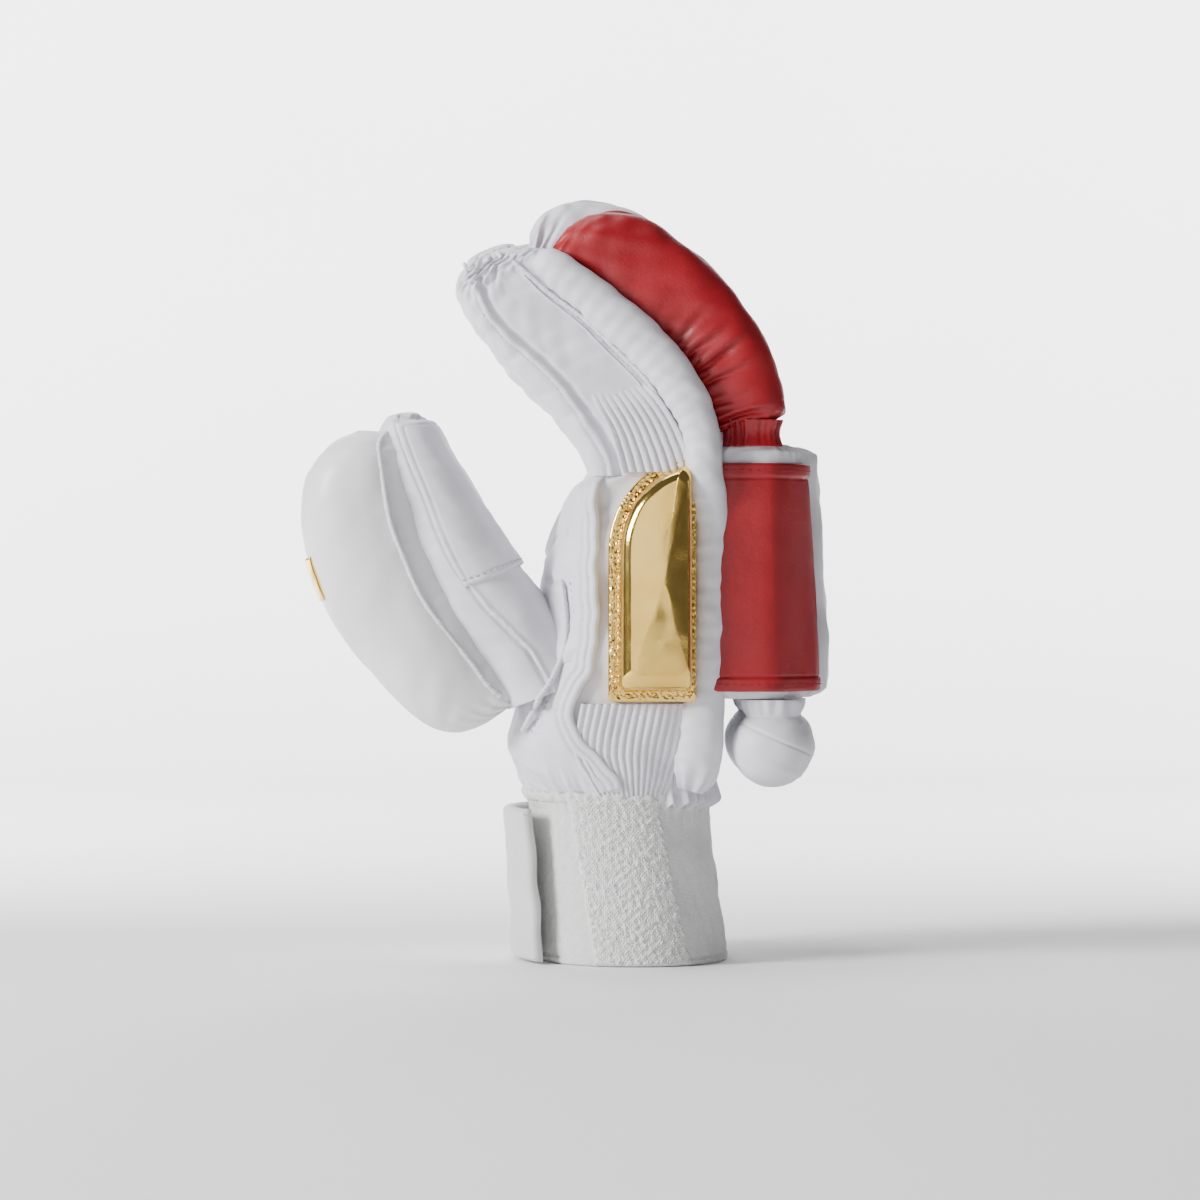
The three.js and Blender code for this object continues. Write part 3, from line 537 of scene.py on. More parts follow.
def padding_rows(rows, entries, thickness, width, sink, power, tip=0):
    """Sections of padding that lies along a loft's outer edge; tip moves its far end on."""
    result = []
    first, last = entries[0][0], entries[-1][0]
    for place, thick, wide in entries:
        edge, normal = outer_edge(rows, place + tip * ((place - first) / (last - first)) ** 3)
        top = thick * thickness
        result.append((
            edge["out_x"] - normal[0] * sink, edge["out_z"] - normal[1] * sink,
            edge["out_x"] + normal[0] * top, edge["out_z"] + normal[1] * top,
            edge["y"], wide * width / 2, power,
        ))
    return table(result)


BACK_ROLL_TABLE = [
    # height, size
    (0, 0.62), (0.025, 0.86), (0.08, 0.98), (0.3, 1.0), (0.65, 1.0), (0.93, 0.99), (0.98, 0.9),
    (1, 0.66),
]


def back_roll_rows(slot, crown, width):
    rows = []
    front = PALM_BACK - BACK_CROWN - ROLL_SINK
    for height, size in BACK_ROLL_TABLE:
        lean = BACK_ROLL_LEAN * (1 - height)
        back = PALM_BACK + BACK_CROWN * (crown - 1) + BACK_ROLL_DEPTH + lean
        middle = (front + back) / 2
        reach = (back - front) / 2 * size
        z = BACK_ROLL_BOTTOM + height * BACK_ROLL_LENGTH
        y = slot * FINGER_PITCH
        rows.append(level_row(middle - reach, middle + reach, z, width / 2 * size, 4.2, y))
    return table(rows)


def ball_rows(slot, crown):
    radius = BALL_DIAMETER / 2
    back = PALM_BACK + BACK_CROWN * (0.3 * crown - 1) + BACK_ROLL_DEPTH + BACK_ROLL_LEAN
    middle = back - BALL_INSET - radius
    neck_top = BACK_ROLL_BOTTOM - SEAM_GAP
    centre = neck_top - NECK_HEIGHT - radius * 0.8
    profile = []
    for turn in (-89, -75, -60, -45, -30, -15, 0, 15, 30, 42, 49):
        angle = math.radians(turn)
        profile.append((centre + radius * math.sin(angle), radius * math.cos(angle)))
    profile.append((neck_top - NECK_HEIGHT * 0.75, NECK_DEPTH * 0.47))
    profile.append((neck_top - NECK_HEIGHT * 0.3, NECK_DEPTH * 0.5))
    profile.append((neck_top, NECK_DEPTH / 2))
    squeeze = FINGER_WIDTH / BALL_DIAMETER
    return table([level_row(middle - reach, middle + reach, z, reach * squeeze, 2, slot * FINGER_PITCH)
                  for z, reach in profile])


THUMB_TABLE = [
    # palm reach, palm rise, back reach, back rise, side, width
    (0.159, 0.318, 0.477, 0.233, -0.25, 1.0),
    (0.25, 0.426, 0.591, 0.345, -0.255, 1.0),
    (0.352, 0.543, 0.71, 0.465, -0.265, 0.98),
    (0.437, 0.62, 0.807, 0.574, -0.275, 0.93),
    (0.523, 0.709, 0.875, 0.69, -0.285, 0.87),
    (0.614, 0.806, 0.915, 0.798, -0.295, 0.82),
    (0.705, 0.907, 0.955, 0.891, -0.305, 0.76),
    (0.765, 0.98, 0.977, 0.965, -0.31, 0.66),
    (0.82, 1.01, 0.945, 1.0, -0.312, 0.42),
]
THUMB_ROWS = table([(
    -palm_reach * THUMB_REACH, CUFF_HEIGHT + palm_rise * THUMB_RISE,
    -back_reach * THUMB_REACH, CUFF_HEIGHT + back_rise * THUMB_RISE,
    side * HAND_WIDTH, width * THUMB_WIDTH / 2, 2.4,
) for palm_reach, palm_rise, back_reach, back_rise, side, width in THUMB_TABLE])

PROTECTOR_TABLE = [
    # place, thick, width
    (0.05, 0.26, 0.5), (0.25, 0.52, 0.7), (0.6, 0.72, 0.84), (1.1, 0.83, 0.95), (2, 0.91, 1.0),
    (3, 0.98, 1.0), (4, 1.0, 0.98), (5, 0.95, 0.94), (5.9, 0.84, 0.88), (6.45, 0.68, 0.78),
    (6.8, 0.46, 0.64), (7, 0.2, 0.42),
]
PROTECTOR_ROWS = padding_rows(THUMB_ROWS, PROTECTOR_TABLE, PROTECTOR_THICKNESS, PROTECTOR_WIDTH,
                              PROTECTOR_SINK, 2.3)

BAR_HAND_TABLE = [
    # height, width, thick
    (0.03, 0.6, 0.6), (0.07, 1.1, 1.1), (0.14, 1.28, 1.1), (0.3, 1.12, 1.1), (0.5, 0.98, 0.98),
    (0.8, 0.95, 0.95),
]
BAR_FINGER_TABLE = [
    # place, width, thick
    (0, 0.95, 0.95), (1.2, 1.0, 1.0), (2.4, 1.1, 1.1), (3.6, 1.15, 1.1), (4.8, 1.05, 1.05),
    (5.8, 0.95, 0.95), (6.4, 0.8, 0.8), (6.75, 0.4, 0.4),
]


def side_bar_rows(rows, side):
    points = []
    for height, width, thick in BAR_HAND_TABLE:
        row = palm_row_at(height)
        x = row["in_x"] + BAR_HAND_ACROSS * (row["out_x"] - row["in_x"])
        points.append((x, side * row["half"] * BAR_CORNER, row["in_z"], width, thick))
    for place, width, thick in BAR_FINGER_TABLE:
        row = row_at(rows, place)
        x = row["in_x"] + BAR_FINGER_ACROSS * (row["out_x"] - row["in_x"])
        z = row["in_z"] + BAR_FINGER_ACROSS * (row["out_z"] - row["in_z"])
        points.append((x, row["y"] + side * (row["half"] + BAR_OUTSET), z, width, thick))
    points = np.array(points, float)
    along = np.gradient(points[:, [0, 2]], axis=0)
    along /= np.linalg.norm(along, axis=1)[:, None]
    result = []
    for (x, y, z, width, thick), (step_x, step_z) in zip(points, along):
        reach = BAR_WIDTH / 2 * width
        result.append((x - step_z * reach, z + step_x * reach, x + step_z * reach, z - step_x * reach,
                       y, BAR_HEIGHT / 2 * thick, 2.3))
    return table(result)


def angles(count):
    return 2 * math.pi * np.arange(count) / count


def stops(rows, count, first=0.0):
    """Places spread along a loft, evenly in millimetres."""
    fine = np.linspace(first, len(rows["y"]) - 1, 400)
    row = row_at(rows, fine)
    middle = np.stack([row["in_x"] + row["out_x"], 2 * row["y"], row["in_z"] + row["out_z"]], axis=-1) / 2
    ends = np.hypot(row["out_x"] - row["in_x"], row["out_z"] - row["in_z"]) / 2
    step = np.hypot(np.linalg.norm(np.diff(middle, axis=0), axis=1), np.diff(ends))
    length = np.concatenate([[0], np.cumsum(step)])
    return np.interp(np.linspace(0, length[-1], count), length, fine)


def measured(rows, place, turn):
    """The bare surface of a loft, and how far each point lies along it and around it."""
    base = surface(rows, place, turn)
    return base, *grid_measures(base)


def grid(rows, count, sides, first=0.0):
    """A closed grid on a loft: places, angles, bare surface, and the distances along and around."""
    place = stops(rows, count, first)[:, None]
    turn = angles(sides)[None]
    return place, turn, *measured(rows, place, turn)


def rim_distance(along, around):
    """How far each point of an open grid lies from the nearest of its four edges."""
    return np.minimum(np.minimum(along, along[-1] - along), np.minimum(around, around[:, -1:] - around))


def drawn_in(ring, shares, rise=0.0):
    """Smaller and smaller copies of a ring, raised into a dome."""
    middle = ring.mean(axis=0)
    return np.stack([middle + (ring - middle) * share + rise * math.sqrt(1 - share ** 2) for share in shares])


def outward(turn):
    """Level directions away from the middle of the glove."""
    return np.stack([np.cos(turn), np.sin(turn), np.zeros_like(turn)], axis=-1)


def on_palm(x, z, side, grow):
    """Points on one side of the palm, from their X and Z."""
    place = palm_place(z)
    row = row_at(PALM_ROWS, place)
    share = (2 * x - row["in_x"] - row["out_x"]) / (row["out_x"] - row["in_x"])
    return surface(PALM_ROWS, place, side_angle(row, np.clip(share, -0.999, 0.999), side), grow)


def on_side(rows, place, share, side, grow):
    """Points on one side of a loft, from a place along it and a share of its depth."""
    turn = side_angle(row_at(rows, place), np.clip(share, -0.999, 0.999), side)
    return surface(rows, place, turn, grow)


def smooth_line(points, count):
    """A smooth curve through a few points, as count points."""
    points = np.array(points, float)
    length = path_length(points)
    spots = np.linspace(0, length[-1], count)
    slopes = np.gradient(points, length, axis=0)
    index = np.clip(np.searchsorted(length, spots, side="right") - 1, 0, len(points) - 2)
    gap = (length[index + 1] - length[index])[:, None]
    share = (spots - length[index])[:, None] / gap
    start, end = points[index], points[index + 1]
    bend = share * (1 - share) * gap
    curve = bend * ((1 - share) * slopes[index] - share * slopes[index + 1])
    return start + (end - start) * smooth_step(share, 0, 1) + curve


def piping(name, path, radius):
    """A thin round leather welt along a path, with slightly uneven gathers."""
    step = np.arange(len(path))
    gathers = 1 + 0.12 * np.sin(step * 1.7) + 0.1 * np.sin(step * 0.61)
    ends = np.minimum(1, np.minimum(step, step[::-1]) / 3 + 0.3)
    closed_form(name, tube(path, radius * gathers * ends), WHITE)


def rolled_edge(distance, radius):
    """How far a rounded rim falls away towards an edge, at a distance from it."""
    near = np.clip(1 - distance / radius, 0, 1)
    return -radius * (1 - np.sqrt(1 - near * near))


# Cuff, terry strip and strap
HEM_STITCH_Z = 3.1
TERRY_LOW, TERRY_HIGH = 0.012, 1.02
STRAP_FROM, STRAP_TO = math.radians(106.875), math.radians(219.375)
STRAP_REACH = 70
STRAP_STITCH_ROWS = (2, 47)


def cuff_swell(height):
    """How far the cuff's upper edge stands out."""
    return 0.9 * smooth_step(height, 0.86, 0.98)


def build_cuff():
    turn = angles(240)[None]
    height = np.linspace(0, 1, 80)[:, None]
    _, along, around = measured(CUFF_ROWS, height, turn)
    z = height * CUFF_HEIGHT
    soft = uneven(along, around, 11, (0.5, 26), (0.15, 6)) * np.minimum(1, height * 9)
    gather = 0.5 * np.sin(turn * 46) * smooth_step(height, 0.72, 1.0)
    hem = -0.5 * hill(z, 4.4, 0.5) + 0.25 * hill(z, 2.2, 1.4)
    edge = rolled_edge(np.minimum(z, CUFF_HEIGHT - z), 1.4)
    outer = surface(CUFF_ROWS, height, turn, soft + gather + hem + edge + cuff_swell(height))
    inner = surface(CUFF_ROWS, height[::-1], turn, -CUFF_WALL - edge[::-1] * 0.6)
    obj = ring_form("cuff_band_cloth", np.concatenate([outer, inner]), CUFF, "cuff_band")
    path = surface(CUFF_ROWS, HEM_STITCH_Z / CUFF_HEIGHT, np.linspace(0, 2 * math.pi, 260), 0.35)
    stitch_line("cuff_hem_stitches", [path], CUFF_THREAD, length=1.9, gap=1.5, radius=0.26)


def build_cuff_join():
    """Soft rim where the hand's leather is drawn into the top of the cuff."""
    turn = angles(300)[None]
    share = np.linspace(0, 1, 16)[:, None]
    low = surface(CUFF_ROWS, 0.955, turn, 1.0)
    high = surface(PALM_ROWS, palm_place(CUFF_HEIGHT + 2.6), turn, 0.9)
    path = low + (high - low) * smooth_step(share, 0, 1)[..., None]
    tucks = np.sin(turn * 57 + 2 * np.sin(turn * 7)) * 0.35 + np.sin(turn * 23 + np.sin(turn * 3)) * 0.3
    swell = np.sin(math.pi * share) ** 0.7 * (1.0 + tucks)
    over = path + outward(turn) * swell[..., None]
    over[..., 2] += 0.6 * np.sin(turn * 31 + 2 * np.sin(turn * 5)) * share
    under = path - outward(turn) * 1.2
    ring_form("cuff_top_rim", np.concatenate([over, under[::-1]]), CUFF)


def build_terry():
    count, columns = 300, 270
    height = np.linspace(TERRY_LOW, TERRY_HIGH, count)[:, None]
    front = np.interp(height, [0, 0.5, 1], [-0.4, -0.48, -0.56])
    back = np.interp(height, [0, 0.5, 1], [0.6, 0.5, 0.42])
    low, high = (side_angle(row_at(CUFF_ROWS, 0.5), edge, -1) for edge in (front, back))
    share = np.linspace(0, 1, columns)[None]
    turn = low + (high - low) * share
    _, along, around = measured(CUFF_ROWS, height, turn)
    loops = np.random.default_rng(5).random((count, columns))
    loops = (loops + np.roll(loops, 1, 0) + np.roll(loops, 1, 1) + np.roll(loops, (1, 1), (0, 1))) / 4
    clumps = folds(along, around, 2.1, 15, waves=9) + 0.7 * folds(along, around, 3.7, 16)
    rows_of_loops = np.sin(2 * math.pi * (along + 0.35 * clumps) / 1.25)
    rows_of_loops = rows_of_loops * np.sin(2 * math.pi * (around + 0.3 * clumps) / 1.15)
    rim = np.minimum(height - TERRY_LOW, TERRY_HIGH - height) * CUFF_HEIGHT
    wander = 0.35 * np.sin(along * 1.9) + 0.3 * np.sin(along * 0.7)
    side = np.minimum(share, 1 - share) * around[:, -1:] + wander
    edge = np.clip(np.minimum(rim, side) / 1.6, 0, 1) ** 0.6
    pile = 1.2 + 0.15 * rows_of_loops + 0.17 * clumps + 0.72 * (loops - 0.5)
    over = surface(CUFF_ROWS, height, turn, cuff_swell(height) + 0.1 + pile * edge)
    under = surface(CUFF_ROWS, height, turn, -0.5)
    obj = sheet_form("cuff_terry_pile", over, under, TERRY, "cuff_terry_panel")


def build_strap():
    """Strap: hook and loop layers round the palm side, standing off at its free end."""
    share = np.linspace(0, 1, 90)[None]
    turn = STRAP_FROM + (STRAP_TO - STRAP_FROM) * share
    side = np.linspace(0, 1, 50)[:, None]
    height = (STRAP_FOOT + STRAP_HEIGHT * side) / CUFF_HEIGHT
    side = side * STRAP_HEIGHT
    lift = SEAM_GAP + STRAP_LIFT * smooth_step(share, 0.1, 0.65)
    _, along, around = measured(CUFF_ROWS, height, turn)
    rim = np.minimum(np.minimum(side, STRAP_HEIGHT - side), (1 - share) * STRAP_REACH)
    stitch = -0.45 * hill(rim, 2.6, 0.35)
    round_edge = -1.4 * (1 - np.sqrt(1 - np.clip(1 - rim / 1.8, 0, 1) ** 2))
    wave = 0.3 * folds(along, around, 18, 31)
    layer = 0.5 * smooth_step(rim, 0, 3.4)
    over = surface(CUFF_ROWS, height, turn, lift + STRAP_THICKNESS - 0.5 + stitch + round_edge + wave + layer)
    under = surface(CUFF_ROWS, height, turn, lift + wave - round_edge * 0.6)
    sheet_form("wrist_strap_leather", over, under, STRAP, "wrist_strap")
    paths = [surface(CUFF_ROWS, height[k], turn[0], lift[0] + STRAP_THICKNESS - 0.25 + wave[k])
             for k in STRAP_STITCH_ROWS]
    stitch_line("wrist_strap_stitches", paths, THREAD)


# Hand: palm leather with its overlap, and the seams on the thumb side; lines are in X and Z
PALM_EDGE = np.array([
    (-7.5, 167.5), (-9.2, 163), (-10.4, 155), (-10.6, 141), (-10.6, 125), (-10.9, 110), (-12.8, 100.5),
    (-16.2, 94.5), (-18.4, 89), (-18.4, 84), (-16.6, 78.5), (-12.4, 73), (-7.6, 68), (-4.6, 64.5),
    (-3.2, 61.5), (-2.6, 58.5),
])
PALM_EDGE_LOW, PALM_EDGE_HIGH = 57.6, 165.9
PALM_EDGE_STITCHES = (5, 9)
PALM_EDGE_PROFILE = np.array([
    # distance in from the edge, height above the palm
    (12, -0.3), (10, 0.6), (8, 1.35), (6.6, 2.0), (5.6, 2.35), (5.1, 1.95), (4.6, 2.4), (3.6, 2.85),
    (2.9, 2.95), (2.5, 2.55), (2.1, 3.0), (1.4, 3.25), (0.8, 3.3), (0.3, 3.1), (0, 2.7), (-0.12, 2.2),
    (0, 1.7), (0.4, 1.2), (1.6, 0.5), (4, -0.6), (12, -1.2),
])
THUMB_BASE = [(-23.2, 131), (-22.2, 124), (-21.5, 116), (-22.2, 108), (-25.6, 99.5), (-31, 90.5), (-36.6, 80)]


def build_palm():
    place, turn, base, along, around = grid(PALM_ROWS, 200, 300)
    x, y, z = base[..., 0], base[..., 1], base[..., 2]
    thumb_side = smooth_step(-y, 14, 26)
    beyond_edge = x - np.interp(z, PALM_EDGE[::-1, 1], PALM_EDGE[::-1, 0])
    swell = 1.1 * thumb_side * smooth_step(beyond_edge, -16, -4)
    sunk = -0.9 * thumb_side * smooth_step(beyond_edge, -2.5, 0.0)
    soft = uneven(along, around, 21, (0.7, 36), (0.25, 14), (0.12, 6))
    tucked = 1 - smooth_step(z, 58, 72)
    gather = (0.55 * np.sin(turn * 34 + 0.6 * np.sin(turn * 5)) + 0.3 * np.sin(turn * 71)) * tucked
    palm_side = smooth_step(-x, 10, 24)
    creases = -1.3 * palm_side * (hill(z, 112 + 0.25 * y, 1.6) + 0.8 * hill(z, 140 - 0.2 * y, 1.5))
    web = -0.9 * thumb_side * (hill(x + 27 - 0.28 * (z - 134), 0, 1.6) * hill(z, 133, 9))
    web += -0.8 * thumb_side * hill(z - 129 + 0.5 * (x + 24), 0, 1.5) * hill(x, -25, 8)
    outer = surface(PALM_ROWS, place, turn, swell + sunk + soft + gather + creases + web)
    inner = surface(PALM_ROWS, place[::-1], turn, -LEATHER_WALL)
    ring_form("palm_leather", np.concatenate([outer, inner]), WHITE, "palm_shell")


def build_palm_edge():
    """The palm leather's turned edge, which lies over the ribbed knit and the plate's side."""
    line = smooth_line(PALM_EDGE, 360)
    step = np.arange(len(line))
    along = np.gradient(line, axis=0)
    along /= np.linalg.norm(along, axis=1)[:, None]
    inward = np.stack([along[:, 1], -along[:, 0]], axis=-1)
    inward *= np.sign(-inward[len(inward) // 2, 0])
    wavy = 0.35 * np.sin(step / 13) + 0.2 * np.sin(step / 5.1 + 1)
    line = line + inward * wavy[:, None]
    distance, height = PALM_EDGE_PROFILE.T[:, None]
    ends = smooth_step(step, 0, 14) * smooth_step(step[::-1], 0, 10)
    lift = height + 0.3 * np.sin(step / 17)[:, None] * (distance < 9)
    lift = lift * (0.35 + 0.65 * ends)[:, None]
    x = line[:, :1] + inward[:, :1] * distance
    z = line[:, 1:] + inward[:, 1:] * distance
    rings = on_palm(x, np.clip(z, PALM_EDGE_LOW, PALM_EDGE_HIGH), -1, lift)
    rings[..., 2] = z
    closed_form("palm_leather_edge", rings, WHITE)
    paths = [rings[12:-8, column] + np.array([0, -0.15, 0]) for column in PALM_EDGE_STITCHES]
    stitch_line("palm_edge_stitches", paths, THREAD, length=1.5, gap=0.8, radius=0.2)


# A finger's leather starts a little below its root, under the palm's edge
FINGER_START = -0.12
KNUCKLE_PLACES = (2.3, 3.1, 4.4, 5.3)


def finger_crease(place):
    """How far across a finger the crease on its side lies."""
    return -0.62 + 0.02 * np.sin(place * 2.1) + 0.07 * smooth_step(place, 5.6, 7.5)


def finger_detail(name, rows, place, turn):
    _, along, around = measured(rows, place, turn)
    across = bulge(np.cos(turn), row_at(rows, place)["power"])
    side = smooth_step(np.abs(np.sin(turn)), 0.3, 0.7)
    soft = uneven(along, around, 40 + len(name), (0.35, 24), (0.2, 9))
    crease_at = finger_crease(place)
    band = 1.5 * (1 - smooth_step(across, crease_at - 0.02, crease_at + 0.015))
    band *= smooth_step(across, -1.05, -0.85) * 0.5 + 0.5
    groove = -1.1 * hill(across, crease_at + 0.04, 0.035) - 0.35 * hill(across, crease_at - 0.1, 0.02)
    seam = side * (band + groove)
    knuckles = sum(hill(place, at, 0.13) for at in KNUCKLE_PLACES)
    bends = -0.35 * smooth_step(-across, 0.3, 0.8) * knuckles
    tip = smooth_step(place, 5.9, 7.4)
    slant = around * 0.75 + along * 0.32
    pinch = tip * (0.9 * np.sin(slant + 1.6 * np.sin(along * 0.5)) + 0.45 * np.sin(slant * 2.3 + 1))
    pinch *= smooth_step(-across, -0.7, 0.2) * 0.85 + 0.15
    return soft + seam + bends + pinch


def build_fingers():
    for name, slot, length, _, _ in FINGERS:
        rows = finger_rows(slot, length)
        count, sides = (220, 220) if name == "index" else (120, 128)
        place = stops(rows, count, FINGER_START)[:, None]
        turn = angles(sides)[None]
        outer = surface(rows, place, turn, finger_detail(name, rows, place, turn))
        away = outer[-1].mean(axis=0) - outer[-8].mean(axis=0)
        away /= np.linalg.norm(away)
        ruck = 1 + 0.12 * np.sin(turn[0] * 13 + 2 * np.sin(turn[0] * 3))[:, None]
        cap = drawn_in(outer[-1], (0.95, 0.85, 0.7, 0.5, 0.3, 0.1), away * 2.4 * ruck)
        inner = surface(rows, np.linspace(7.4, FINGER_START, 60)[:, None], turn, -LEATHER_WALL)
        inner_cap = drawn_in(inner[0], (0.05, 0.4, 0.8))
        rings = np.concatenate([outer, cap, inner_cap, inner])
        ring_form(f"finger_{name}_leather", rings, WHITE, f"finger_{name}")


def build_finger_seams():
    """Welts and stitches along the thumb side of the index finger, beside the side bar."""
    rows = finger_rows(FINGERS[0][1], FINGERS[0][2])
    place = np.linspace(0.35, 7.1, 240)
    wander = 0.012 * np.sin(place * 3.1)
    welt = on_side(rows, place, 0.31 + wander - 0.05 * smooth_step(place, 4, 7), -1, 0.75)
    piping("finger_index_welt", welt, 0.75)
    piping("finger_index_ridge", on_side(rows, place[:215], 0.2 + wander[:215] * 1.3, -1, 0.35), 0.42)
    sewn = [on_side(rows, place, 0.255 + wander, -1, 0.42),
            on_side(rows, place[:200], finger_crease(place[:200]) - 0.1, -1, 1.45)]
    stitch_line("finger_index_stitches", sewn, THREAD, length=1.5, gap=0.8, radius=0.18)
    tab = on_side(rows, np.linspace(7.2, 8.0, 14), np.full(14, -0.8), -1, 0.9)
    tab += np.outer(np.linspace(0, 1, 14) ** 1.5, [-3.2, 0.5, 1.2])
    closed_form("finger_index_tip_fold", tube(tab, np.linspace(1.5, 0.5, 14), 12), WHITE)


# Padded rolls
INDEX_PLEATS = [
    (0.02, 1.3, 0.007, 0.9), (0.045, 1.1, 0.007, 0.8), (0.075, 1.3, 0.009, 1.0), (0.105, 0.8, 0.008, 0.6),
    (0.14, 0.9, 0.01, 0.75), (0.185, 0.6, 0.01, 0.5), (0.225, 1.15, 0.011, 0.9), (0.258, 0.7, 0.008, 0.55),
    (0.29, 1.3, 0.012, 1.0), (0.322, 0.8, 0.008, 0.6), (0.352, 1.1, 0.011, 0.85), (0.388, 0.7, 0.009, 0.55),
    (0.425, 0.9, 0.012, 0.8), (0.47, 0.6, 0.012, 0.5), (0.525, 0.6, 0.014, 0.6), (0.61, 0.35, 0.016, 0.4),
    (0.72, 0.4, 0.02, 0.45), (0.84, 0.3, 0.02, 0.4),
]


def roll_pleats(name):
    """Where the roll's cover is drawn in: run along the roll, depth, width and reach round it."""
    if name == "index":
        return INDEX_PLEATS
    random = np.random.default_rng(60 + len(name))
    spots = np.cumsum(random.uniform(0.028, 0.07, 22))
    return [(spot, random.uniform(0.3, 1.1), random.uniform(0.008, 0.014), random.uniform(0.4, 1.0))
            for spot in spots if spot < 0.92]


def build_upper_roll(name, slot, length, tip, look):
    rows = padding_rows(finger_rows(slot, length), UPPER_ROLL_TABLE, ROLL_THICKNESS, FINGER_WIDTH,
                        ROLL_SINK, 2.7, tip)
    place, turn, _, along, around = grid(rows, 330, 170)
    run = along[:, :1] / along[-1, 0]
    from_back = np.abs((turn + math.pi) % (2 * math.pi) - math.pi)
    pleats = np.zeros(along.shape)
    for spot, depth, width, reach in roll_pleats(name):
        start = 2.5 - 1.7 * reach
        flank = smooth_step(from_back, start, start + 0.9)
        lean = 0.012 * np.sin(spot * 90) * (from_back - 2) + 0.004 * np.sin(turn * 5 + spot * 50)
        off = run - spot - lean
        pleats -= depth * hill(off, 0, width * (1.5 - 0.5 * flank)) * flank
        pleats += 0.45 * depth * hill(off, width * 1.9, width * 1.3) * flank
    gather = 0.9 * np.sin(turn * 17 + 1.5 * np.sin(turn * 3)) * (1 - smooth_step(run, 0.0, 0.07))
    gather += 0.5 * np.sin(turn * 15) * smooth_step(run, 0.965, 1.0)
    tuck = -1.6 * smooth_step(from_back, 2.3, 2.8) * (1 - smooth_step(run, 0.9, 1.0))
    soft = uneven(along, around, 60 + len(name), (0.45, 30), (0.2, 12))
    rings = surface(rows, place, turn, pleats + gather + soft + tuck)
    obj = closed_form(f"upper_roll_{name}_leather", rings, look, f"upper_roll_{name}")


def turned_back(points):
    """The index roll's outer corner, which turns away from the thumb side."""
    amount = smooth_step(points[..., 0], 45.5, 62) * smooth_step(-points[..., 1], 30, 44)
    points[..., 1] += 10 * amount
    return points


WRAPPED_WIDTH = FINGER_WIDTH - 2 * (WRAP_THICKNESS + SEAM_GAP)
# The wrap keeps to the back roll's full sections, and doesn't follow its drawn-in ends
FULL_FROM, FULL_TO = 2.4, 4.8


def build_back_roll(name, slot, crown):
    is_index = name == "index"
    rows = back_roll_rows(slot, crown, WRAPPED_WIDTH if is_index else FINGER_WIDTH)
    place, turn, base, along, around = grid(rows, 170, 140)
    z = base[..., 2]
    ends = hill(z, BACK_ROLL_TOP, 5) + hill(z, BACK_ROLL_BOTTOM, 5)
    gather = 0.5 * np.sin(turn * 22 + np.sin(turn * 5)) * ends
    soft = uneven(along, around, 80 + len(name), (0.35, 24), (0.15, 9))
    rings = surface(rows, place, turn, soft + gather)
    if is_index:
        rings = turned_back(rings)
    obj = closed_form(f"back_roll_{name}_leather", rings, WHITE, f"back_roll_{name}")


def build_wrap():
    """The red wrap: flat turned hems at both ends, and a row of stitches on each."""
    _, slot, _, crown, _ = FINGERS[0]
    rows = back_roll_rows(slot, crown, WRAPPED_WIDTH)

    def at_height(heights, turn, grow=0.0):
        place = np.clip(np.interp(heights, rows["in_z"], np.arange(len(BACK_ROLL_TABLE))), FULL_FROM, FULL_TO)
        points = surface(rows, place, turn, grow)
        points[..., 2] = heights
        return points

    low = BACK_ROLL_BOTTOM + WRAP_START
    high = low + WRAP_LENGTH
    heights = np.linspace(low, high, 170)[:, None]
    turn = angles(180)[None]
    along, around = grid_measures(at_height(heights, turn))
    from_end = np.minimum(heights - low, high - heights)
    hem = 0.5 * (1 - smooth_step(from_end, 4.3, 4.9)) - 0.35 * hill(from_end, 5.0, 0.4)
    lip = rolled_edge(from_end, 0.9)
    soft = uneven(along, around, 91, (0.18, 40), (0.03, 14))
    pulls = 0.08 * np.sin(around * 1.5) * hill(from_end, 5.5, 2.0)
    over = at_height(heights, turn, SEAM_GAP + WRAP_THICKNESS + hem + lip + soft + pulls)
    rings = np.concatenate([over, at_height(heights[::-1], turn, -0.6)])
    ring_form("back_roll_wrap_leather", turned_back(rings), RED, "back_roll_wrap")
    paths = [turned_back(at_height(level, np.linspace(-math.pi, math.pi, 300), 2.25))
             for level in (low + 2.4, high - 2.4)]
    stitch_line("back_roll_wrap_stitches", paths, RED_THREAD, length=1.7, gap=0.9, radius=0.22)


def build_ball(name, slot, crown):
    rows = ball_rows(slot, crown)
    place, turn, base, along, around = grid(rows, 110, 96)
    x, z = base[..., 0], base[..., 2]
    centre_z = (BACK_ROLL_BOTTOM - SEAM_GAP - NECK_HEIGHT) - BALL_DIAMETER * 0.4
    slant = 0.44 * (x - x.mean())
    seam = -0.6 * hill(z - centre_z + slant, 3.2, 0.35) * smooth_step(-np.sin(turn), -0.2, 0.3)
    neck = smooth_step(z, centre_z + BALL_DIAMETER * 0.36, centre_z + BALL_DIAMETER * 0.46)
    gather = 0.35 * np.sin(turn * 14 + np.sin(turn * 3)) * neck
    rings = surface(rows, place, turn, seam + gather + uneven(along, around, 100 + len(name), (0.18, 12)))
    obj = closed_form(f"end_ball_{name}_leather", rings, WHITE, f"end_ball_{name}")


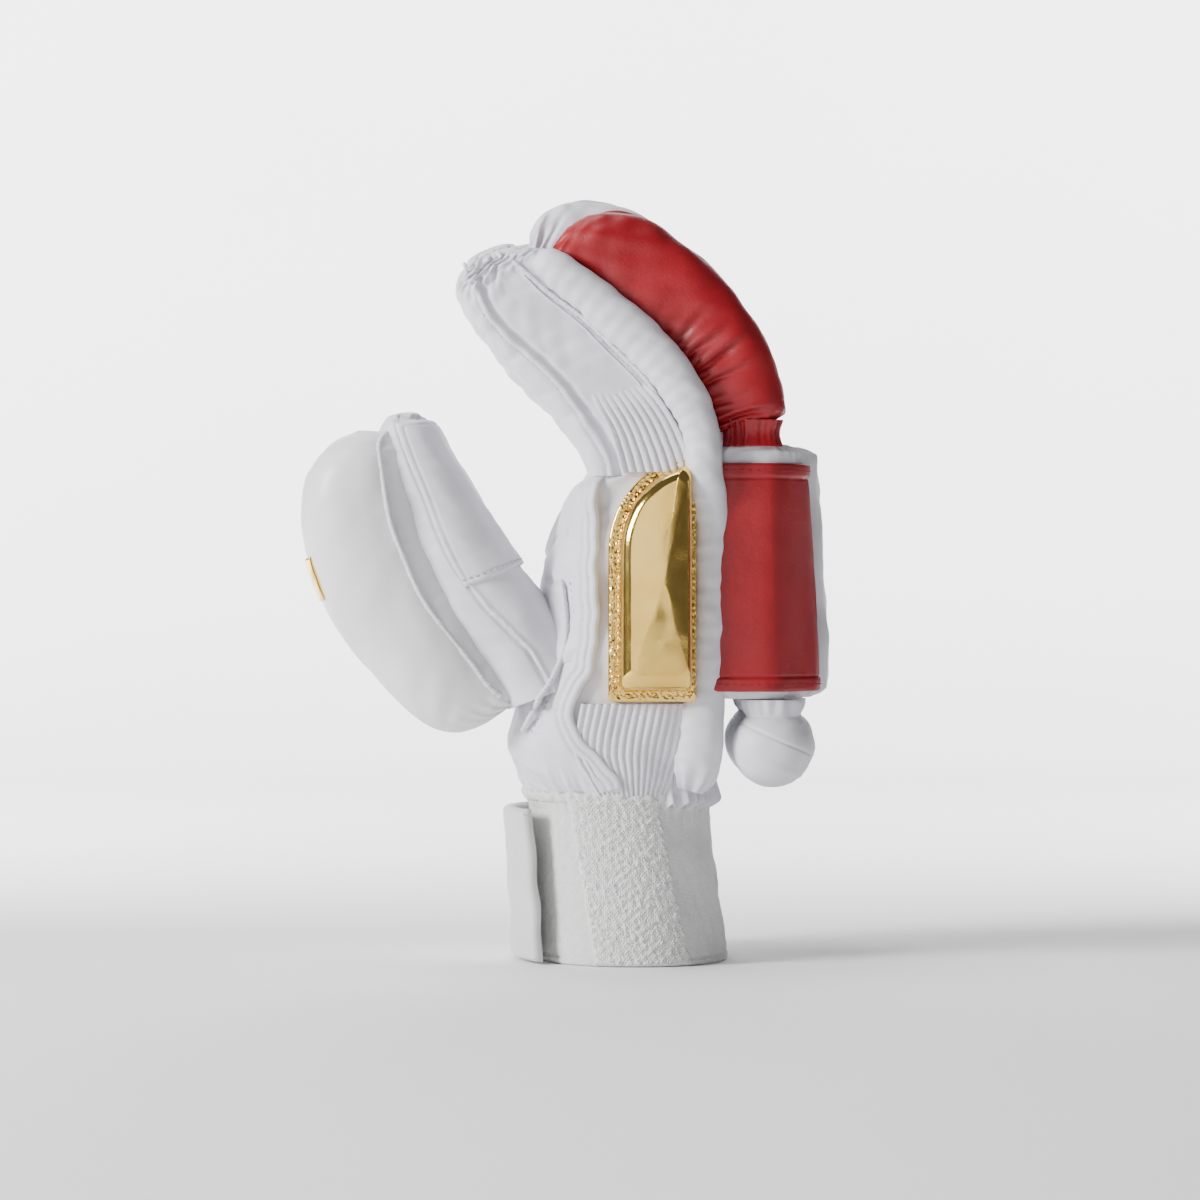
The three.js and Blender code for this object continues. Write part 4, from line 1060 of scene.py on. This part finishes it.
def build_flap(name, slot, crown, look):
    """Gathered flap between a back roll and the roll above it, with a frilled edge."""
    inset = 0 if crown == 0 else 1.8
    front = PALM_TOP["out_x"] - ROLL_SINK / 2
    back = front + FLAP_DEPTH + BACK_CROWN * 0.2 * max(crown, 0) - inset
    foot = BACK_ROLL_TOP + SEAM_GAP - 1.2
    half = FINGER_WIDTH / 2 - 1.2 - inset / 2
    rows = table([level_row(front + inset, back, z, half, 3, slot * FINGER_PITCH)
                  for z in (foot, foot + FLAP_HEIGHT + 6)])
    turn = angles(220)[None]
    share = np.linspace(0, 1, 26)[:, None]
    strength = 0.55 + 0.45 * np.sin(turn * 5 + slot)
    waves = 0.8 * np.sin(turn * 17 + 3 * np.sin(turn * 3)) + 0.4 * np.sin(turn * 29 + 2 * np.sin(turn * 4))
    frill = strength * waves * (0.5 + 0.5 * share)
    waist = -1.1 * np.sin(math.pi * share) ** 2
    rings = surface(rows, share, turn, frill + waist)
    closed_form(f"knuckle_flap_{name}_leather", rings, look, f"knuckle_flap_{name}")


def build_bar(name, slot, length, side):
    rows = side_bar_rows(finger_rows(slot, length), side)
    place, turn, _, along, around = grid(rows, 260, 72)
    run = along[:, :1] / along[-1, 0]
    soft = 0.25 * folds(along, around, 22, 120 + side) + 0.12 * folds(along, around, 9, 122 + side)
    gather = 0.8 * np.sin(turn * 9 + np.sin(turn * 2)) * (1 - smooth_step(run, 0.0, 0.07))
    puckers = 0.18 * np.sin(run * 240 + np.sin(turn)) * smooth_step(np.abs(np.sin(turn / 2)), 0.3, 0.95)
    rings = surface(rows, place, turn, soft + gather + puckers)
    obj = closed_form(f"side_bar_{name}_leather", rings, WHITE, f"side_bar_{name}")


# Thumb
PATCH_FROM, PATCH_SPAN, PATCH_END = math.radians(79), math.radians(202), 7.4
WELT_ANGLE = math.radians(246)
FOIL_LOW, FOIL_HIGH, FOIL_FROM, FOIL_TO = 124, 138.5, -27, 2


def thumb_seam(place):
    """How far across the thumb the seam between its two leathers lies."""
    return np.interp(place, [0, 1, 2, 4, 6, 7.2, 8], [-0.1, -0.15, 0.14, 0.26, 0.25, 0.3, 0.3])


def build_thumb():
    place, turn, _, along, around = grid(THUMB_ROWS, 180, 180)
    across = bulge(np.cos(turn), 2.4)
    side = smooth_step(-np.sin(turn), 0.05, 0.3)
    seam_at = thumb_seam(place)
    ridge = smooth_step(across, seam_at - 0.14, seam_at - 0.02)
    ridge = ridge * (1 - smooth_step(across, seam_at - 0.02, seam_at))
    seam = side * ridge - 1.2 * side * hill(across, seam_at + 0.03, 0.035)
    soft = uneven(along, around, 131, (0.35, 25), (0.2, 9))
    tip = 0.6 * np.sin(around * 1.1) * smooth_step(place, 7.1, 7.8)
    outer = surface(THUMB_ROWS, place, turn, seam + soft + tip)
    cap = drawn_in(outer[-1], (0.9, 0.7, 0.4, 0.1, 0.01), np.array([0, 0, 1.6]))
    inner = surface(THUMB_ROWS, np.linspace(7.2, 0.1, 50)[:, None], turn, -LEATHER_WALL)
    inner_cap = drawn_in(inner[0], (0.02, 0.4, 0.8))
    ring_form("thumb_leather", np.concatenate([outer, cap, inner_cap, inner]), WHITE, "thumb_tube")


def on_hand(x, z, grow):
    """Points on the thumb side of the hand, on the thumb or the palm, whichever stands out more."""
    result = on_palm(x, z, -1, grow)
    places = np.linspace(0, 4, 90)[:, None]
    turns = np.linspace(math.pi, 2 * math.pi, 120)[None]
    cloud = surface(THUMB_ROWS, places, turns, grow).reshape(-1, 3)
    for item, point in enumerate(result):
        gap = np.hypot(cloud[:, 0] - x[item], cloud[:, 2] - z[item])
        near = np.argmin(gap)
        if gap[near] < 1.2:
            point[1] = min(point[1], cloud[near, 1])
    reach = 2
    window = 2 * reach + 1
    y = np.lib.stride_tricks.sliding_window_view(np.pad(result[:, 1], reach, mode="edge"), window)
    outermost = np.pad(y.min(axis=1), reach, mode="edge")
    result[:, 1] = np.convolve(outermost, np.full(window, 1 / window), mode="valid")
    return result


def build_thumb_base():
    """The seam where the thumb's leather joins the palm, with a row of stitch holes beside it, drawn as dark
    grey stitches: painted shade in the holes.
    """
    x, z = smooth_line(THUMB_BASE, 150).T
    piping("thumb_base_welt", on_hand(x, z, 1.0), 0.95)
    beside = on_palm(x + 2.9, z - 0.4, -1, 1.0)
    stitch_line("thumb_base_stitches", [beside], PAINTED_SHADE_THREAD, length=1.1, gap=1.3, radius=0.26)


def build_thumb_patch():
    """Patch over the thumb's pad, cut to a slant at its lower end."""
    turn = PATCH_FROM + PATCH_SPAN * np.linspace(0, 1, 150)[None]
    lower = np.interp(np.cos(turn), [-1, -0.3, 0.3], [2.95, 2.75, 2.6])
    place = lower + (PATCH_END - lower) * np.linspace(0, 1, 130)[:, None]
    _, along, around = measured(THUMB_ROWS, place, turn)
    rim = rim_distance(along, around)
    sewn = -0.35 * hill(rim, 2.3, 0.35)
    soft = uneven(along, around, 141, (0.3, 20), (0.12, 7))
    grow = SEAM_GAP + PATCH_THICKNESS + rolled_edge(rim, 1.1) + sewn + soft
    over = surface(THUMB_ROWS, place, turn, grow)
    under = surface(THUMB_ROWS, place, turn, -0.8)
    sheet_form("thumb_patch_leather", over, under, WHITE, "thumb_patch")
    path = surface(THUMB_ROWS, lower[0] + 0.17, turn[0], SEAM_GAP + PATCH_THICKNESS + 0.15 + soft[3])
    # Dark grey stitches along the patch's lower edge: painted shade in the stitch holes
    stitch_line("thumb_patch_stitches", [path], PAINTED_SHADE_THREAD, length=1.5, gap=0.9, radius=0.24)


def build_protector():
    rows = PROTECTOR_ROWS
    place, turn, _, along, around = grid(rows, 240, 200)
    run = along[:, :1] / along[-1, 0]
    soft = uneven(along, around, 151, (0.4, 42), (0.12, 12))
    puckers = 0.7 * np.sin(turn * 19 + 1.5 * np.sin(turn * 4)) * (1 - smooth_step(run, 0.02, 0.14))
    upper = 0.4 * np.sin(turn * 17) * smooth_step(run, 0.94, 1.0)
    inner_side = smooth_step(-np.cos(turn), 0.15, 0.7)
    pulls = 0.15 * np.sin(run * 90 + 2 * np.sin(run * 31)) * inner_side
    rings = surface(rows, place, turn, soft + puckers + upper + pulls)
    obj = closed_form("thumb_protector_leather", rings, GUARD, "thumb_protector")
    share = np.linspace(0, 1, 260)
    at = WELT_ANGLE + 0.02 * np.sin(share * 25)
    piping("thumb_protector_welt", surface(rows, 1.3 + (len(PROTECTOR_TABLE) - 2.4) * share, at, 0.1), 0.9)


def build_foil_bar():
    """Plain gold bar on the protector's outer edge."""
    fine = np.linspace(0, len(PROTECTOR_TABLE) - 1, 300)
    heights = np.linspace(FOIL_LOW, FOIL_HIGH, 40)
    place = np.interp(heights, row_at(PROTECTOR_ROWS, fine)["out_z"], fine)[:, None]
    turn = np.radians(np.linspace(FOIL_FROM, FOIL_TO, 40))[None]
    _, along, around = measured(PROTECTOR_ROWS, place, turn)
    grow = 1.0 + rolled_edge(rim_distance(along, around), 0.4) + 0.1 * folds(along, around, 6, 155)
    over = surface(PROTECTOR_ROWS, place, turn, grow)
    under = surface(PROTECTOR_ROWS, place, turn, -0.8)
    sheet_form("thumb_protector_foil_bar", over, under, GOLD)


# Gold plate: a dome on a flange that is stippled and sewn down
PLATE_POINTS, FLANGE_RINGS = 480, 9


def plate_outline(inset):
    """The plate's outline, drawn in by an inset: square below, rounded over at the top."""
    back, front = PLATE_WIDTH - inset * 0.35, inset
    top = PLATE_LENGTH - inset
    shoulder = PLATE_LENGTH * 0.61
    corner = min(1.6 + inset * 0.4, 3.5)
    quarter = np.linspace(-math.pi / 2, 0, 8)
    points = [(back - corner + corner * math.cos(t), inset + corner + corner * math.sin(t)) for t in quarter]
    points += [(back - corner * (1 - math.cos(t)), top - corner * (1 - math.sin(t))) for t in -quarter[::-1]]
    for angle in math.pi / 2 * np.linspace(0.12, 1, 24):
        points.append((back - (back - front) * math.sin(angle) ** 1.1,
                       shoulder + (top - shoulder) * math.cos(angle)))
    points += [(front + corner * (1 - math.cos(t)), inset + corner * (1 - math.sin(t)))
               for t in np.linspace(0, math.pi / 2, 8)]
    loop = np.array(points + points[:1])
    length = path_length(loop)
    return at_length(np.linspace(0, length[-1], PLATE_POINTS, endpoint=False), length, loop)


def build_plate():
    front = palm_row_at(0.5)["out_x"] - BAR_WIDTH + PLATE_SEAT - PLATE_WIDTH
    foot = BACK_ROLL_BOTTOM - 2 * SEAM_GAP
    face = HAND_WIDTH / 2 + SEAM_GAP + PLATE_THICKNESS

    def ring(inset, out):
        x, z = plate_outline(inset).T
        return np.stack([front + x, np.full(PLATE_POINTS, -face - out), foot + z], axis=-1)

    rise = [(0, -9), (0, -0.5), (0.2, -0.1), (0.5, 0.1)]
    flange = slice(len(rise), len(rise) + FLANGE_RINGS)
    rise += [(inset, 0.1) for inset in np.linspace(0.9, PLATE_FLANGE - 0.3, FLANGE_RINGS)]
    for angle in math.pi / 2 * np.linspace(0.04, 1, 26):
        spread = 5.6 * (1 - math.cos(angle)) ** 0.9
        rise.append((PLATE_FLANGE - 0.2 + spread, PLATE_RISE * math.sin(angle) ** 0.75))
    rings = np.array([ring(inset, out) for inset, out in rise])
    stipple = np.random.default_rng(9).random((FLANGE_RINGS, PLATE_POINTS))
    stipple = (stipple + np.roll(stipple, 1, 1)) / 2
    rings[flange, :, 1] -= 0.75 * (stipple - 0.4)
    dome = rings[flange.stop:]
    along = dome[..., 2] - foot
    dome[..., 1] -= 0.12 * np.sin(along / 11) + 0.05 * np.sin(along / 5.1 + dome[..., 0] / 6)
    shares = np.array([0.93, 0.84, 0.72, 0.58, 0.42, 0.26, 0.1])
    crown = drawn_in(rings[-1], shares)
    crown[..., 1] -= 0.9 * (1 - shares ** 2)[:, None]
    closed_form("gold_plate_foil", np.concatenate([rings, crown]), GOLD, "gold_plate")
    path = ring(PLATE_FLANGE * 0.5, 0.5)
    stitch_line("gold_plate_stitches", [path], GOLD_THREAD, length=1.4, gap=0.8, radius=0.3)


# Ribbed knit
def build_knit(node, rows, lines, side, pitch, to_place, fade=0.0, lift=0.0):
    """Knit panel: lines give its height and front and back edges; the ribs run along it."""
    lines = np.array(lines, float)
    height = np.linspace(0, 1, 90)
    spots = np.linspace(0, 1, len(lines))
    level, front, back = (np.interp(height, spots, column)[:, None] for column in lines.T)
    place = to_place(level)
    share = np.linspace(0, 1, 260)[None]
    turn = side_angle(row_at(rows, place), front + (back - front) * share, side)
    _, along, around = measured(rows, place, turn)
    width = around[:, -1].mean()
    ribs = max(3, round(width / pitch))
    wave = np.abs(np.sin(math.pi * (share * ribs + 0.02 * np.sin(along / 9)))) ** 0.7
    pull = 0.3 * folds(along, around, 16, 160 + ribs)
    edge = rolled_edge(np.minimum(share, 1 - share) * width, 1.0)
    sunk = (smooth_step(height, 1 - fade, 1) if fade else 0 * height)[:, None]
    grow = SEAM_GAP + KNIT_THICKNESS - 0.4 + lift + (RIB_DEPTH * 1.4 * wave + pull) * (1 - 0.8 * sunk) + edge
    over = surface(rows, place, turn, grow - (2.2 + lift) * sunk ** 3)
    under = surface(rows, place, turn, -0.8)
    obj = sheet_form(f"{node}_knit", over, under, KNIT, node)


def build_knits():
    def palm_at(height):
        return palm_place(CUFF_HEIGHT + height * PALM_HEIGHT)

    top = (BACK_ROLL_BOTTOM - 3 * SEAM_GAP - CUFF_HEIGHT) / PALM_HEIGHT
    wrist = [(0.01, -0.2, 0.5), (0.14, -0.36, 0.62), (top, -0.38, 0.66)]
    build_knit("rib_gusset_wrist", PALM_ROWS, wrist, -1, RIB_PITCH, palm_at)
    index = finger_rows(FINGERS[0][1], FINGERS[0][2])
    finger = [(0.15, -0.5, 0.5), (1.0, -0.5, 0.4), (1.8, -0.46, 0.36), (2.9, -0.44, 0.3)]
    build_knit("rib_gusset_finger", index, finger, -1, RIB_PITCH, lambda place: place, fade=0.4, lift=0.9)
    little = [(0.06, -0.3, 0.5), (0.4, -0.36, 0.6), (0.95, -0.3, 0.6)]
    build_knit("rib_gusset_little", PALM_ROWS, little, 1, INNER_RIB_PITCH, palm_at)


def ruffle_band(name, low_angle, high_angle, frills, foot, top, flare, node=None):
    """Leather drawn into the cuff: frilled folds that flare out over the cuff's edge."""
    share = np.linspace(0, 1, 420)[None]
    turn = math.radians(low_angle) + math.radians(high_angle - low_angle) * share
    height = np.linspace(0, 1, 50)[:, None]
    sideways = np.sin(share * frills * 2 * math.pi + 1.7 * np.sin(share * 29) + 0.9 * height)
    fine = np.sin(share * frills * 5.3 + 2 * np.sin(share * 17))
    z = foot + (top - foot) * height + (0.8 * sideways + 0.5 * fine) * (1 - height) ** 2
    hand = surface(PALM_ROWS, palm_place(np.maximum(z, CUFF_HEIGHT + SEAM_GAP)), turn)
    open_edge = 1 - smooth_step(height, 0.0, 0.75)
    ends = np.minimum(1, np.minimum(share, 1 - share) * 14)
    grow = flare * open_edge + RUFFLE_DEPTH * sideways * (0.35 + 0.8 * open_edge) + 0.3 * fine * open_edge
    grow = 0.3 + ends * grow + ends * np.sin(math.pi * height)
    inside = np.minimum(grow - 1.2, 0.2 + 1.6 * open_edge)
    over, under = (hand + outward(turn) * out[..., None] for out in (grow, inside))
    over[..., 2] = z
    under[..., 2] = z + 0.4
    sheet_form(name, over, under, WHITE, node)


def build_ruffle():
    """Gathers where the leather is drawn in to the cuff at the back of the wrist."""
    ruffle_band("wrist_ruffle_leather", -68, 72, 19, 54.0, 67.5, 3.6, "wrist_ruffle")
    ruffle_band("wrist_ruffle_upper_leather", -60, -28, 5, 60.5, 72, 2.6)


build_cuff()
build_terry()
build_strap()
build_palm()
build_fingers()
build_thumb()
build_thumb_patch()
build_protector()
build_plate()
build_knits()
build_ruffle()
build_wrap()
build_palm_edge()
build_cuff_join()
build_finger_seams()
build_thumb_base()
build_foil_bar()
for finger, finger_slot, finger_length, finger_crown, tip_run in FINGERS:
    skin = RED if finger == "index" else WHITE
    build_upper_roll(finger, finger_slot, finger_length, tip_run, skin)
    build_back_roll(finger, finger_slot, finger_crown)
    build_ball(finger, finger_slot, finger_crown)
    build_flap(finger, finger_slot, finger_crown, skin)
for (finger, finger_slot, finger_length, _, _), thumb_or_far in ((FINGERS[0], -1), (FINGERS[3], 1)):
    build_bar(finger, finger_slot, finger_length, thumb_or_far)


# Floor, backdrop, lights and camera, in metres
BACKDROP_REACH, BACKDROP_FRONT, BACKDROP_WALL, BACKDROP_TOP, BACKDROP_BEND = 1.1, -2.5, 2.2, 4.0, 0.9
BEND_STEPS = 12


def build_stage():
    profile = [(BACKDROP_FRONT, 0.0)]
    for step in range(BEND_STEPS + 1):
        angle = math.pi / 2 * step / BEND_STEPS
        profile.append((BACKDROP_WALL - BACKDROP_BEND + BACKDROP_BEND * math.sin(angle),
                        BACKDROP_BEND - BACKDROP_BEND * math.cos(angle)))
    profile.append((BACKDROP_WALL, BACKDROP_TOP))
    points = [(side * BACKDROP_REACH, y, z) for y, z in profile for side in (-1, 1)]
    quads = [(2 * k, 2 * k + 1, 2 * k + 3, 2 * k + 2) for k in range(len(profile) - 1)]
    mesh = bpy.data.meshes.new("backdrop")
    mesh.from_pydata(points, [], quads)
    mesh.polygons.foreach_set("use_smooth", [True] * len(quads))
    floor = bpy.data.objects.new("backdrop", mesh)
    bpy.context.scene.collection.objects.link(floor)
    material, tree, shader, place = new_material("pale_floor")
    paper = texture(tree, "Noise", place, Scale=3.0, Detail=2.0)
    colours = ramp(tree, paper.outputs["Fac"], (0.94, 0.94, 0.94, 1), (0.96, 0.96, 0.96, 1))
    tree.links.new(colours, shader.inputs["Base Color"])
    set_inputs(shader, Roughness=0.9)
    mesh.materials.append(material)


def add_light(name, place, aim, size, power):
    """A square area light, with its size in metres and its power in watts."""
    data = bpy.data.lights.new(name, "AREA")
    data.shape = "RECTANGLE"
    data.size = size
    data.size_y = size
    data.energy = power
    light = bpy.data.objects.new(name, data)
    light.location = place
    light.rotation_euler = (Vector(aim) - Vector(place)).to_track_quat("-Z", "Y").to_euler()
    bpy.context.scene.collection.objects.link(light)


build_stage()
add_light("key_light", (-1.5, -0.8, 0.7), (0, 0, 0.12), 0.6, 60)
add_light("front_card", (-0.62, -2.3, 0.25), (0, 0, 0.13), 1.5, 11)
add_light("fill_light", (1.4, -0.9, 0.5), (0, 0, 0.12), 0.6, 1)
add_light("top_light", (-0.4, 0.1, 1.7), (0, 0, 0.1), 0.7, 13)
add_light("wall_light_left", (-1.4, 0.1, 0.7), (-1.4, 2.2, 0.7), 1.2, 170)
add_light("wall_light_right", (1.4, 0.1, 0.7), (1.4, 2.2, 0.7), 1.2, 170)

# The world is pale where the camera sees it, and dimmer as a light
world = bpy.data.worlds.new("studio")
world.use_nodes = True
sky = world.node_tree
dim = sky.nodes["Background"]
set_inputs(dim, Color=(0.95, 0.96, 1.0, 1), Strength=0.12)
pale = sky.nodes.new("ShaderNodeBackground")
set_inputs(pale, Color=(0.95, 0.95, 0.96, 1), Strength=2.2)
rays = sky.nodes.new("ShaderNodeLightPath")
blend = sky.nodes.new("ShaderNodeMixShader")
sky.links.new(rays.outputs["Is Camera Ray"], blend.inputs[0])
sky.links.new(dim.outputs[0], blend.inputs[1])
sky.links.new(pale.outputs[0], blend.inputs[2])
sky.links.new(blend.outputs[0], sky.nodes["World Output"].inputs["Surface"])
bpy.context.scene.world = world

CAMERA_DISTANCE = 1.3
SENSOR_WIDTH = 36
VIEW_WIDTH = 0.4056
VIEW_X, VIEW_Z = -0.0108, 0.1244
THUMB_SIDE_Y = -0.04
camera_data = bpy.data.cameras.new("camera")
camera_data.sensor_width = SENSOR_WIDTH
camera_data.lens = SENSOR_WIDTH * CAMERA_DISTANCE / VIEW_WIDTH
camera = bpy.data.objects.new("camera", camera_data)
camera.location = (VIEW_X, THUMB_SIDE_Y - CAMERA_DISTANCE, VIEW_Z)
camera.rotation_euler = (math.radians(90), 0, 0)
bpy.context.scene.collection.objects.link(camera)
bpy.context.scene.camera = camera

bpy.context.view_layer.update()
